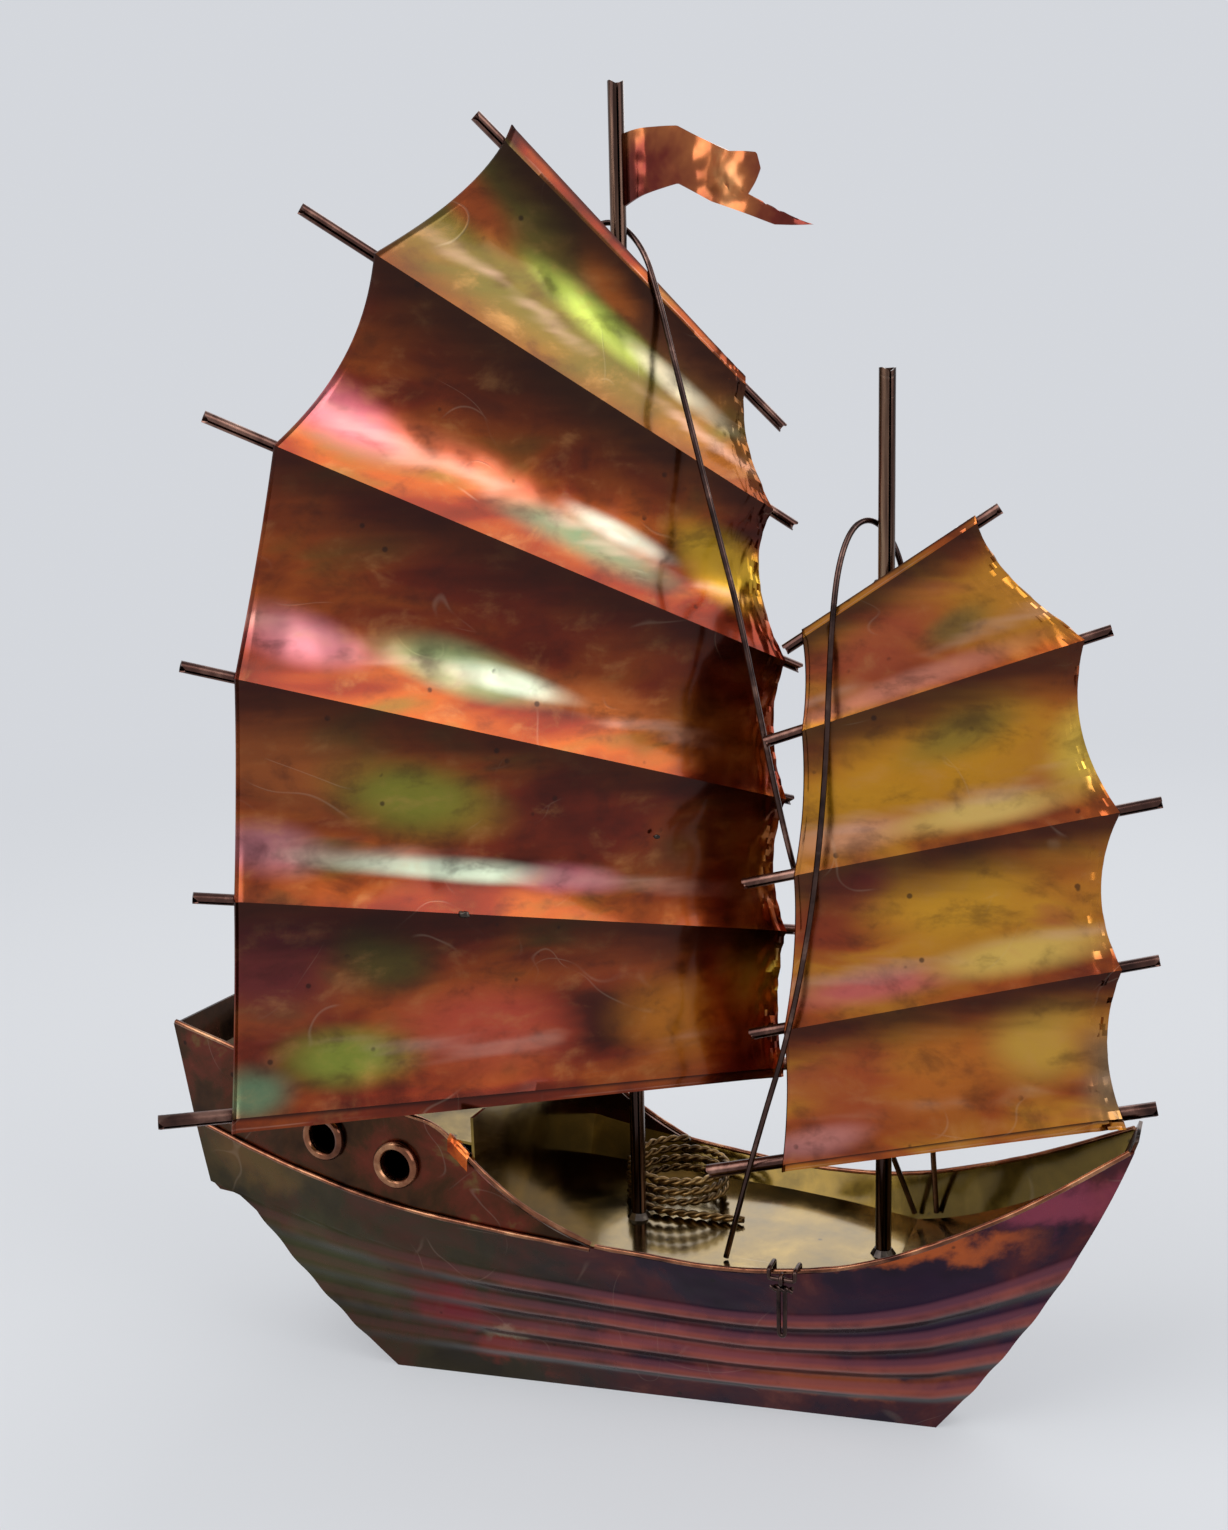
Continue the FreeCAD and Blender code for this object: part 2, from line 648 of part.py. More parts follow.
def pennant():
    """Swallow-tailed flag: a waved wall of sheet trimmed to its outline."""
    low = min(z for x, z in PENNANT_OUTLINE) - 1
    high = max(z for x, z in PENNANT_OUTLINE) + 1
    front = []
    for share in stations(0.0, 1.0, PENNANT_CREASES + 1):
        wave = -PENNANT_WAVE * math.sin(2 * math.pi * PENNANT_WAVES * share) * (1 - 0.5 * share)
        front.append(V(PENNANT_ROOT + PENNANT_LENGTH * share, wave, low))
    wall = Part.Face(closed_wire(front + [p + V(0, PENNANT_SHEET, 0) for p in reversed(front)]))
    trim = prism_along_y(chain(PENNANT_OUTLINE + PENNANT_OUTLINE[:1]))
    return wall.extrude(V(0, 0, high - low)).common(trim)


# Wire

def bent_path(points):
    """Straight runs joined by tangent arcs, each as large as its two runs allow."""
    points = [V(*p) for p in points]
    edges = []
    radii = []
    start = points[0]
    for before, corner, after in zip(points, points[1:], points[2:]):
        run_in = corner - before
        run_out = after - corner
        turn = run_in.getAngle(run_out)
        reach = 0.45 * min(run_in.Length, run_out.Length)
        a = corner - run_in.normalize() * reach
        b = corner + run_out.normalize() * reach
        radii.append(reach / math.tan(turn / 2))
        chord_middle = (a + b) * 0.5
        bow = (corner - chord_middle).normalize() * (radii[-1] * (1 / math.cos(turn / 2) - 1))
        edges += [line(start, a), arc(a, corner - bow, b)]
        start = b
    edges.append(line(start, points[-1]))
    return Part.Wire(edges), radii


def bent_wire(name, points, radius):
    path, radii = bent_path(points)
    first = V(*points[0])
    heading = (V(*points[1]) - first).normalize()
    across = heading.cross(V(1, 0, 0) if abs(heading.x) < 0.5 else V(0, 1, 0)).normalize()
    profile = section(first, across, heading.cross(across), radius)
    solid = path.makePipeShell([profile], True, False)
    share = solid.Volume / (section_area(radius) * path.Length)
    measures = (name, path.Length, min(radii), share)
    print("%s: length %.1f, least radius %.1f, volume share %.4f" % measures)
    return solid


def mitred_wire(points, across, radius):
    """Wire bent sharply in one plane, whose normal is across, with a mitred section at each corner."""
    points = [V(*p) for p in points]
    headings = [(b - a).normalize() for a, b in zip(points, points[1:])]
    wires = []
    for index, point in enumerate(points):
        before = headings[max(index - 1, 0)]
        after = headings[min(index, len(headings) - 1)]
        middle = (before + after).normalize()
        up = middle.cross(across).normalize()
        wires.append(section(point, across, up * (1.0 / middle.dot(after)), radius))
    return Part.makeLoft(wires, True, True)


def biarc(a, heading_a, b, heading_b):
    """Two tangent arcs from a to b with the given headings."""
    gap = b - a
    both = heading_a + heading_b
    square = 2 * (1 - heading_a.dot(heading_b))
    middle_term = gap.dot(both)
    reach = (-middle_term + math.sqrt(middle_term**2 + square * gap.dot(gap))) / square
    knee_a = a + heading_a * reach
    knee_b = b - heading_b * reach
    joint = (knee_a + knee_b) * 0.5
    edges = []
    for p, knee, q in ((a, knee_a, joint), (joint, knee_b, b)):
        weight = math.cos((knee - p).getAngle(q - p))
        edges.append(arc(p, (p + knee * (2 * weight) + q) * (1 / (2 + 2 * weight)), q))
    return edges


def coil_point(turn):
    """Place on the wound wire after so many turns, and its heading there."""
    angle = math.radians(COIL_START - 360 * turn)
    x = COIL_CENTRE[0] + COIL_RADIUS * math.cos(angle)
    y = COIL_CENTRE[1] + COIL_RADIUS * math.sin(angle)
    z = DECK_TOP + COIL_WIRE + COIL_LIFT + COIL_PITCH * turn
    heading = V(math.sin(angle), -math.cos(angle), COIL_PITCH / (2 * math.pi * COIL_RADIUS))
    return V(x, y, z), heading.normalize()


def coil_gap(quarters):
    """Least gap between the wire and itself, measured on points a quarter turn or more apart."""
    samples = [coil_point(i / 48.0)[0] for i in range(12 * quarters + 1)]
    least = 1e9
    for i, p in enumerate(samples):
        for q in samples[i + 12:]:
            least = min(least, (p - q).Length)
    return least - 2 * COIL_WIRE


def rope_coil():
    """One unbroken wire: a straight tail on the deck, then turns that climb evenly."""
    quarters = int(4 * COIL_TURNS)
    first, heading = coil_point(0.0)
    level = V(heading.x, heading.y, 0).normalize()
    tail = first - level * COIL_TAIL
    edges = [line(tail, first)]
    heading_a = level
    for i in range(quarters):
        a = coil_point(i / 4.0)[0]
        b, heading_b = coil_point((i + 1) / 4.0)
        edges += biarc(a, heading_a, b, heading_b)
        heading_a = heading_b
    profile = section(tail, V(-level.y, level.x, 0), V(0, 0, 1), COIL_WIRE, COIL_SIDES)
    path = Part.Wire(edges)
    solid = path.makePipeShell([profile], True, False)
    print("rope_coil: length %.1f, least gap %.2f" % (path.Length, coil_gap(quarters)))
    return solid


# Anchor

def rail_point(x):
    return V(x, -half_beam(x), rail_height(x))


def anchor_pin():
    rail = rail_point(ANCHOR_X)
    return V(ANCHOR_X, rail.y - HANGER_OUTSIDE, rail.z - ANCHOR_PIN_DROP)


def anchor_hanger():
    """Wire staple over the starboard rail: two arms, and the outer bar that carries the anchor's eye."""
    pin = anchor_pin()
    rail = rail_point(ANCHOR_X)
    inside = rail.y + HANGER_INSIDE
    over = rail_height(ANCHOR_X + HANGER_HALF_WIDTH) + ANCHOR_WIRE + SEATING
    half = HANGER_HALF_WIDTH
    bar = Part.makeCylinder(ANCHOR_WIRE, 2 * half, pin - V(half, 0, 0), V(1, 0, 0))
    for x in (ANCHOR_X - half, ANCHOR_X + half):
        arm = [(x, inside, rail.z - HANGER_DROP), (x, inside, over), (x, pin.y, over), (x, pin.y, pin.z)]
        bar = bar.fuse(mitred_wire(arm, V(1, 0, 0), ANCHOR_WIRE))
    return bar


def anchor():
    """Bent-wire anchor: an eye round the pin, a twisted stock and a hairpin shank."""
    pin = anchor_pin()
    r = ANCHOR_WIRE
    eye_radius = 2 * r + ANCHOR_CLEARANCE
    eye = Part.Face(section(pin + V(0, eye_radius, 0), V(0, 1, 0), V(1, 0, 0), r))
    solid = eye.revolve(pin, V(1, 0, 0), 360)
    knot_z = pin.z - ANCHOR_KNOT_DROP
    foot_z = pin.z - ANCHOR_LEG_DROP
    half = ANCHOR_LEG_SPACING / 2
    end = V(pin.x - ANCHOR_STOCK / 2, pin.y, knot_z)
    knot = Part.Face(section(end, V(0, 1, 0), V(0, 0, 1), ANCHOR_KNOT * r))
    solid = solid.fuse(knot.extrude(V(ANCHOR_STOCK, 0, 0)))
    legs = [(-half, knot_z), (-half, foot_z), (-half / 2, foot_z - half)]
    legs += [(-x, z) for x, z in reversed(legs)]
    shank = [(pin.x + x, pin.y, z) for x, z in legs]
    return solid.fuse(mitred_wire(shank, V(0, 1, 0), r)).removeSplitter()


def save(name, shape):
    """Write one node; a list of separate solids goes out as one group."""
    parts = shape if isinstance(shape, list) else shape.Solids
    whole = parts[0] if len(parts) == 1 else Part.makeCompound(parts)
    if not whole.isValid() or not parts:
        print("CHECK THIS SHAPE:", name)
    whole.exportStep("parts/%s.step" % name)
    print("%-22s solids %d  volume %8.1f" % (name, len(parts), sum(p.Volume for p in parts)))


def both_sides(name, shape):
    solids = shape if isinstance(shape, list) else shape.Solids
    save(name + "_starboard", solids)
    save(name + "_port", [mirrored(s) for s in solids])


def build():
    os.makedirs("parts", exist_ok=True)
    whole = side_view()
    inside = hull_inside(whole)
    both_sides("hull_side", hull_side(whole))
    both_sides("hull_rim", hull_rim())
    both_sides("wale", wale())
    both_sides("quarter_panel", quarter_panel(whole))
    both_sides("quarter_rim", quarter_rim())
    both_sides("porthole_rings", porthole_rings())
    save("bottom_plate", bottom_plate(inside))
    save("bow_plate", bow_plate(inside))
    save("stern_plate", stern_plate(inside))
    save("main_deck", main_deck(inside))
    save("poop_bulkhead", poop_bulkhead(inside))
    save("poop_deck", poop_deck(inside))
    for name, x, top in (("main", MAIN_MAST_X, MAIN_MAST_TOP), ("fore", FORE_MAST_X, FORE_MAST_TOP)):
        save(name + "_mast", mast(x, top))
        save(name + "_mast_collar", mast_collar(x))
    for name, ends in MAIN_SPARS.items():
        save(name, swung(spar(name, ends), MAIN_MAST_X, MAIN_SWING))
    for name, ends in FORE_SPARS.items():
        save(name, swung(spar(name, ends), FORE_MAST_X, FORE_SWING))
    save("main_sail", swung(main_sail(), MAIN_MAST_X, MAIN_SWING))
    save("fore_sail", swung(fore_sail(), FORE_MAST_X, FORE_SWING))
    save("pennant", pennant())
    save("main_stay", bent_wire("main_stay", MAIN_STAY, STAY_RADIUS))
    save("fore_stay", bent_wire("fore_stay", FORE_STAY, STAY_RADIUS))
    save("rope_coil", rope_coil())
    save("anchor_hanger", anchor_hanger())
    save("anchor", anchor())


build()
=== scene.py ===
"""Dress of the copper junk: creased sails, rolled tubes, pressed hull sheets, wire and solder.

Lengths in the tables are millimetres; meshes are metres. +X is the bow, +Y is port, +Z is up.
"""

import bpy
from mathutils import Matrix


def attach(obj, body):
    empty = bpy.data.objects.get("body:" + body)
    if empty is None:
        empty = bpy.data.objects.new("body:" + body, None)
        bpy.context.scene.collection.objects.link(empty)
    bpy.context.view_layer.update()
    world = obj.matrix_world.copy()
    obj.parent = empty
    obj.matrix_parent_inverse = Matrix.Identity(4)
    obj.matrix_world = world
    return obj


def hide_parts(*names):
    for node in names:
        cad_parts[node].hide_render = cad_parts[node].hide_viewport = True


bl_info = {
    "name": "Copper junk ornament",
    "version": (1, 0),
    "blender": (4, 5, 0),
    "location": "View3D > Sidebar > Junk",
    "description": "Models a two-masted copper junk on its packed frame",
    "category": "Object",
}

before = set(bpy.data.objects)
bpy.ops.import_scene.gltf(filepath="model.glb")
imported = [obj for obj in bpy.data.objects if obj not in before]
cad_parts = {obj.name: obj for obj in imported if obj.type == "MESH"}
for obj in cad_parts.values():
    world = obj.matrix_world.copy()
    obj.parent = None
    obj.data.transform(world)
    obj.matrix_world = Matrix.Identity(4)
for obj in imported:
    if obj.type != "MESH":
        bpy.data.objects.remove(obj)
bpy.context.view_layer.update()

import math

import bpy
from bpy.props import FloatProperty, FloatVectorProperty, PointerProperty
from mathutils import Matrix, Vector, noise

MM = 0.001
MAP_UNIT = 100.0   # the sails' maps count in tenths of a metre

# Hull lines, as (x, value) at a few stations from stern to bow; STEM and STERN are (x, z). A rib's
# height and spread are shares of the side's height
HALF_BEAM = [(-102, 27.5), (-75, 31.5), (-45, 33.5), (-20, 32.3), (5, 29.5), (30, 27.2),
             (55, 23.2), (80, 16.0), (106, 5.4)]
SHEER = [(-102, 59.0), (-75, 52.5), (-45, 46.8), (-15, 43.4), (10, 41.0), (35, 40.3),
         (55, 43.2), (80, 53.0), (106, 68.0)]
BOW_PINCH = [(66.5, 4.3), (87, -5.0), (106, -12.0)]
BOTTOM_AFT, BOTTOM_FORE = -51.0, 66.5
BOTTOM_HALF_AFT, BOTTOM_HALF_FORE = 20.0, 4.3
STEM = [(66.5, 0.0), (88.0, 31.5), (104.6, 67.6)]
STERN = [(-51, 0), (-80, 36.3), (-84.5, 39.2), (-90.5, 39.3), (-92.5, 41.0), (-99.5, 77.5)]
RIB_HEIGHTS = [0.21, 0.36, 0.51, 0.66]
RIB_SPREAD = 0.072
RIB_DEPTH_AFT, RIB_DEPTH_FORE = 0.45, 1.1
WAVE_DEPTH, DENT_DEPTH = 0.35, 0.12
SIDE_GRID = (150, 100)
QUARTER_FOOT_X = 1.0
QUARTER_EDGE = [(1.0, 41.0), (-5.6, 43.6), (-14.5, 48.4), (-22.0, 54.6), (-28.2, 60.6),
                (-32.2, 63.8), (-38.0, 65.2), (-58.0, 69.2), (-78.0, 73.2), (-99.0, 77.4)]
QUARTER_FLARE = 0.8
OVERHEAD = 90.0
PORTHOLES = [(-40.9, 54.6), (-58.5, 58.2)]   # (x, z)
RING_RADIUS, RING_WIRE, RING_LIFT, RING_POINTS = 4.22, 0.94, 0.72, 48
RAIL_LAP, RAIL_FORE_END, WALE_AFT_END = 0.8, 103.0, -95.0
BEAD_WOBBLE = 0.09
BEAD_SIDES = 12
DECK_TOP = 34.4

# Rigs, with u counted forward of the mast in the sail's own plane: each spar's aft and forward tips
# and the corners of both edges as (u, height), how far each scallop cuts in, the belly as a share of
# a panel's height, the grid's columns and how far the luff's crumple stands off
MAIN_RIG = {
    "mast_x": 0.0, "swing": 40.0, "top": 272.0,
    "across": 190, "crumple": 1.1,
    "spars": [("main_yard", (-29.3, 263.5), (34.4, 204.6)),
              ("main_batten_1", (-63.3, 245.3), (37.0, 184.3)),
              ("main_batten_2", (-83.2, 207.5), (38.1, 154.1)),
              ("main_batten_3", (-90.3, 161.2), (36.0, 125.5)),
              ("main_batten_4", (-90.8, 116.2), (37.0, 96.4)),
              ("main_boom", (-100.2, 71.9), (36.0, 66.0))],
    "aft": [(-22.5, 261.1), (-50.0, 236.5), (-70.6, 200.2), (-80.4, 159.5), (-83.0, 114.8),
            (-86.3, 68.8)],
    "aft_cuts": [3.6, 4.2, 0.8, 0.6, 0.6],
    "fore": [(25.2, 214.4), (31.1, 188.8), (33.8, 157.2), (33.7, 128.1), (33.5, 97.1), (32.6, 64.5)],
    "fore_cuts": [2.2, 3.6, 2.0, 2.0, 0.8],
    "belly": [(-92, 0.08), (-44, 0.09), (0, 0.055), (38, 0.082)],
}
FORE_RIG = {
    "mast_x": 54.4, "swing": 8.0, "top": 214.2,
    "across": 130, "crumple": 1.5,
    "spars": [("fore_yard", (-19.5, 160.6), (21.3, 187.3)),
              ("fore_batten_1", (-23.6, 142.2), (42.1, 164.3)),
              ("fore_batten_2", (-28.3, 113.0), (52.0, 131.7)),
              ("fore_batten_3", (-27.1, 81.3), (52.5, 100.8)),
              ("fore_boom", (-36.3, 50.8), (52.9, 71.0))],
    "aft": [(-15.7, 164.3), (-15.8, 143.9), (-17.5, 114.6), (-19.7, 83.2), (-20.2, 53.4)],
    "aft_cuts": [0.6, 0.8, 0.8, 0.6],
    "fore": [(16.8, 185.6), (37.1, 163.5), (44.3, 130.7), (45.5, 99.4), (46.9, 67.9)],
    "fore_cuts": [3.4, 3.7, 3.5, 2.9],
    "belly": [(-26, 0.08), (0, 0.06), (24, 0.09), (52, 0.1)],
}
RIDGE_NEST = 1.07      # how far the crease reaches round its spar, in spar radii
RIDGE_SLACK = 0.02
BELLY_LOW = 0.08       # how much of the belly hangs low in its panel
HEM_REACH, HEM_DEPTH = 1.1, 0.5
CRUMPLE_REACH = 4.2
PANEL_ROWS, EDGE_ROWS = 22, 3

# Rolled tubes: wall, then the seam's gap in radians and how deep the ends are notched beside it
MAST_MAKE = (0.4, 0.26, 0.9)
SPAR_MAKE = (0.3, 0.42, 1.3)
MAST_SEAM_TOWARDS = (0.55, -0.83, 0.0)
SPAR_SEAM_DOWN = 0.75
TUBE_COLUMNS = 30
TUBE_ROW = 2.2
TUBE_LAP = 0.035
TUBE_WAVE = 0.012
SEAM_SINK, SEAM_SINK_REACH = 0.10, 0.5

# Pennant edges from the mast to the two tails
PENNANT_TOP = [(1.7, 262.0), (12.5, 262.4), (23.7, 256.3), (29.1, 255.6), (29.8, 252.6)]
PENNANT_LOW = [(1.7, 248.2), (12.6, 251.6), (19.5, 247.6), (32.2, 242.2), (39.9, 241.6)]
PENNANT_HOIST, PENNANT_FLY = 1.7, 39.3
PENNANT_NOTCH = 0.24
PENNANT_WAVE = 2.0
PENNANT_SHEET = 0.0004

# Routes of the stays
MAIN_STAY = [(-7.0, -7.2, 212.2), (-8.4, -5.4, 221.0), (-9.4, -3.0, 230.6), (-8.8, -0.6, 239.2),
             (-6.4, 1.2, 244.6), (-3.0, 2.4, 246.2), (1.2, 2.4, 244.0), (5.6, 0.2, 238.8),
             (8.4, -1.0, 231.0), (11.0, -1.7, 221.6), (14.4, -2.4, 209.0), (18.0, -3.0, 195.6),
             (21.8, -3.5, 181.4), (25.6, -3.8, 167.4), (28.8, -4.0, 152.2), (31.0, -3.8, 141.0),
             (33.4, -2.8, 128.0), (36.2, -1.2, 114.4), (39.7, 2.2, 98.2), (43.8, 7.0, 81.0),
             (48.2, 11.8, 64.6), (53.2, 15.8, 48.8), (57.5, 17.4, 36.2)]
FORE_STAY = [(24.4, -13.4, 34.9), (28.2, -10.6, 52.0), (32.2, -10.4, 66.4), (36.4, -10.4, 80.4),
             (40.4, -10.2, 99.0), (43.0, -10.0, 117.0), (44.8, -9.8, 138.0), (45.4, -9.6, 155.0),
             (45.9, -8.8, 167.6), (46.6, -6.8, 177.4), (48.2, -3.4, 184.0), (50.8, 0.1, 186.0),
             (53.8, 2.8, 183.6), (56.6, 3.2, 177.6), (58.2, 5.0, 167.0), (59.4, 8.2, 150.0),
             (60.2, 11.6, 126.0), (60.6, 14.2, 100.0), (60.6, 15.8, 75.0), (61.2, 16.6, 54.0),
             (62.3, 17.0, 37.2)]

# Rope coil: a straight tail, then turns that climb
COIL_CENTRE = (4.6, 13.1)
COIL_RADIUS = 10.9
COIL_EASE = 1.01       # the smooth line runs inside its control points
COIL_UNEVEN = 0.14
COIL_WIRE = 0.95
COIL_PITCH = 2.35
COIL_TURNS = 3.5
COIL_START = -85.0
COIL_TAIL = 17.5
COIL_DECK_GAP = 0.05
POINTS_A_TURN = 16
STRAND = COIL_WIRE * 0.52
STRAND_LAY = 5.2       # length in which the strands go once about each other

# Anchor and its hanger at the starboard rail
PIN = Vector((40.5, -27.877, 39.639))
RAIL_Z = 40.839
RAIL_Y = -25.777
HANGER_HALF = 2.6
HANGER_INSIDE, HANGER_ABOVE, HANGER_BELOW = 2.0, 0.62, 1.4
ANCHOR_WIRE = 0.45
EYE_PLAY = 0.05
TWIST_WIRE, TWIST_HALF, TWIST_DROP = 0.36, 2.2, 1.9
ANCHOR_DROP = 11.2

# The loose tab that is folded over the quarter rim: its ends along the rim, its line across it as
# (inward of the panel's face, above the rim)
TAB_FORE, TAB_AFT = -24.4, -28.6
TAB_LINE = [(2.3, -1.6), (1.5, 0.9), (0.3, 1.55), (-0.75, 0.8), (-0.95, -1.7)]
TAB_SHEET = 0.0003

# Solder: lumps beside the mast on each spar as (u, depth, size), two strays on the main sail as
# (u, height, size)
SOLDER_AT_MAST = ((-1.4, -1.9, 0.9), (1.5, -2.1, 0.75))
SOLDER_ON_SAIL = ((-38.0, 108.0, 1.0), (4.0, 120.5, 0.6))
SAIL_FRONT = -5.0

# Colours as red, green and blue from 0 to 255. Each patch has a name, a centre, a reach, a colour
# and a strength; most are heat colours that the flame left, and the ones marked below are painted
# highlights. On a sail the centre is how far forward of the mast it lies and the panel, counted from
# the head, with the share of the way down that panel.
MAIN_PATCHES = [
    ("olive top", (-20, 1.5), (60, 0.75), (98, 96, 40), 0.85),
    ("maroon head", (6, 1.2), (20, 0.3), (112, 44, 34), 0.6),
    ("orange glow", (-3, 1.18), (7, 0.2), (226, 118, 44), 0.7),
    ("red patch", (-30, 1.42), (10, 0.2), (176, 74, 36), 0.8),
    # Painted highlight: the next two patches are the highlight streak across the top panel.
    ("green streak", (-6, 1.5), (15, 0.17), (190, 204, 88), 0.9),
    ("pale streak", (12, 1.5), (13, 0.12), (246, 228, 190), 0.85),
    ("brown second", (-30, 2.25), (50, 0.35), (96, 40, 18), 0.7),
    # Painted highlight: the next five patches are the highlight streak low in the second panel, rose,
    # red, teal, white and yellow along it.
    ("rose leech", (-58, 2.74), (17, 0.16), (222, 116, 130), 0.8),
    ("red gleam", (-32, 2.68), (18, 0.12), (236, 120, 84), 0.7),
    ("teal second", (-10, 2.8), (20, 0.14), (96, 140, 106), 0.7),
    ("white gleam", (-2, 2.66), (12, 0.08), (236, 240, 214), 0.8),
    ("yellow luff", (21, 2.55), (12, 0.26), (240, 190, 54), 0.85),
    ("red-brown third", (-20, 3.25), (60, 0.4), (104, 36, 20), 0.7),
    # Painted highlight: the next five patches are the highlight streak low in the third panel, rose,
    # green, white, orange and gold along it.
    ("rose third", (-69, 3.76), (14, 0.14), (226, 140, 150), 0.75),
    ("green third", (-34, 3.7), (20, 0.14), (150, 178, 120), 0.8),
    ("white third", (-24, 3.7), (14, 0.07), (240, 248, 216), 0.85),
    ("orange third", (-4, 3.68), (14, 0.14), (226, 124, 60), 0.7),
    ("gold third", (18, 3.66), (14, 0.3), (168, 98, 36), 0.7),
    ("brown fourth", (-70, 4.35), (20, 0.3), (164, 92, 44), 0.7),
    ("olive fourth", (-46, 4.43), (18, 0.22), (140, 144, 50), 0.85),
    ("maroon fourth", (0, 4.4), (30, 0.4), (112, 38, 24), 0.7),
    # Painted highlight: the next three patches are the highlight streak low in the fourth panel.
    ("rose fourth", (-76, 4.74), (12, 0.14), (206, 132, 140), 0.7),
    ("long gleam", (-42, 4.77), (30, 0.07), (232, 248, 214), 0.85),
    ("pink gleam", (-14, 4.77), (12, 0.1), (226, 130, 140), 0.75),
    ("gold fourth", (26, 4.45), (9, 0.4), (168, 108, 40), 0.7),
    ("purple fifth", (-76, 5.3), (18, 0.4), (96, 32, 46), 0.8),
    ("dark olive fifth", (-54, 5.28), (12, 0.22), (84, 84, 36), 0.8),
    ("coral fifth", (-34, 5.66), (22, 0.26), (206, 84, 62), 0.8),
    ("green fifth", (-62, 5.78), (15, 0.16), (150, 164, 62), 0.85),
    ("teal corner", (-82, 5.92), (9, 0.14), (108, 150, 112), 0.8),
    ("red-brown fifth", (-6, 5.25), (20, 0.25), (156, 70, 34), 0.7),
    ("gold fifth", (12, 5.6), (18, 0.34), (206, 124, 36), 0.85),
    ("bright fifth", (27, 5.3), (8, 0.3), (246, 200, 62), 0.85),
]
FORE_PATCHES = [
    ("copper rose", (-2, 1.5), (16, 0.45), (184, 84, 56), 0.75),
    ("gold head", (24, 1.5), (12, 0.4), (214, 144, 46), 0.8),
    ("green spot", (14, 1.62), (7, 0.14), (96, 104, 60), 0.6),
    # Painted highlight: a pink streak low in the top panel.
    ("pink line", (4, 1.88), (24, 0.1), (232, 146, 120), 0.7),
    ("gold second", (6, 2.5), (32, 0.45), (224, 158, 36), 0.85),
    ("olive second", (14, 2.32), (12, 0.2), (124, 118, 48), 0.65),
    # Painted highlight: the next two patches are the streak low in the second panel.
    ("pink second", (-8, 2.82), (14, 0.12), (248, 172, 128), 0.85),
    ("gold gleam", (18, 2.84), (20, 0.1), (255, 214, 120), 0.85),
    ("bright luff", (38, 2.6), (8, 0.26), (250, 208, 84), 0.85),
    ("maroon third", (-9, 3.3), (13, 0.32), (140, 48, 32), 0.8),
    ("gold third", (16, 3.4), (20, 0.36), (228, 166, 44), 0.85),
    # Painted highlight: the next two patches are the streak low in the third panel.
    ("magenta gleam", (-2, 3.84), (18, 0.12), (228, 110, 110), 0.8),
    ("yellow gleam", (26, 3.78), (19, 0.14), (255, 210, 104), 0.9),
    ("copper fourth", (-9, 4.5), (13, 0.5), (176, 72, 42), 0.75),
    ("orange fourth", (12, 4.5), (14, 0.4), (208, 118, 40), 0.8),
    ("yellow fourth", (31, 4.42), (11, 0.34), (226, 178, 70), 0.8),
    ("grey corner", (44, 4.72), (7, 0.4), (124, 116, 88), 0.75),
    # Painted highlight: a pink streak low in the fourth panel.
    ("pink foot", (-12, 4.88), (12, 0.12), (230, 150, 140), 0.7),
]
# The same on the hull, at (x, z)
HULL_PATCHES = [
    ("orange strake", (66, 47), (22, 4), (214, 104, 44), 0.8),
    ("rose strake", (90, 55), (14, 6), (168, 70, 92), 0.7),
    ("pink ribs", (18, 16), (34, 5), (172, 82, 72), 0.6),
    ("orange ribs", (48, 10), (24, 4), (188, 96, 50), 0.65),
    ("violet bow", (68, 30), (30, 13), (46, 22, 50), 0.8),
    ("crimson patch", (-33, 19), (11, 7), (132, 22, 34), 0.8),
    ("crimson spill", (-24, 8), (12, 4), (150, 52, 38), 0.7),
    ("bare patch", (-20, 12), (9, 3), (156, 142, 116), 0.9),
    ("green aft", (-62, 26), (22, 12), (74, 76, 44), 0.8),
    ("gold aft", (-80, 50), (16, 8), (122, 92, 44), 0.6),
]


def scene_sizes():
    return bpy.context.scene.junk_sizes


def curve_value(stations, x):
    """Smooth curve through a few stations, straight on past its ends."""
    last = len(stations) - 1
    index = 0
    while index < last - 1 and x > stations[index + 1][0]:
        index += 1
    x0, y0 = stations[index]
    x1, y1 = stations[index + 1]
    span = x1 - x0
    chord = (y1 - y0) / span

    def slope(i):
        if i == 0 or i == last:
            return None
        (xa, ya), (xb, yb), (xc, yc) = stations[i - 1:i + 2]
        before = (yb - ya) / (xb - xa)
        after = (yc - yb) / (xc - xb)
        return (before * (xc - xb) + after * (xb - xa)) / (xc - xa)

    s0 = slope(index)
    s1 = slope(index + 1)
    s0 = s0 if s0 is not None else 1.5 * chord - 0.5 * s1
    s1 = s1 if s1 is not None else 1.5 * chord - 0.5 * s0
    t = (x - x0) / span
    if t < 0:
        return y0 + s0 * (x - x0)
    if t > 1:
        return y1 + s1 * (x - x1)
    return (y0 * (2 * t**3 - 3 * t**2 + 1) + span * s0 * (t**3 - 2 * t**2 + t)
            + y1 * (3 * t**2 - 2 * t**3) + span * s1 * (t**3 - t**2))


def straight_value(stations, x):
    """Straight runs through a few stations, in rising order."""
    for (x0, y0), (x1, y1) in zip(stations, stations[1:]):
        if x <= x1:
            break
    return y0 + (y1 - y0) * (x - x0) / (x1 - x0)


def mix(a, b, share):
    return a + (b - a) * share


def smooth_step(low, high, value):
    share = min(1.0, max(0.0, (value - low) / (high - low)))
    return share * share * (3 - 2 * share)


def ripple(x, y, z=0.0, seed=0.0):
    """Gentle noise from -1 to 1 at a place."""
    return noise.noise(Vector((x + 17.3 * seed, y - 5.1 * seed, z + 3.7)))


# Meshes

def deselect():
    bpy.ops.object.select_all(action="DESELECT")


def pick(obj):
    deselect()
    obj.select_set(True)
    bpy.context.view_layer.objects.active = obj


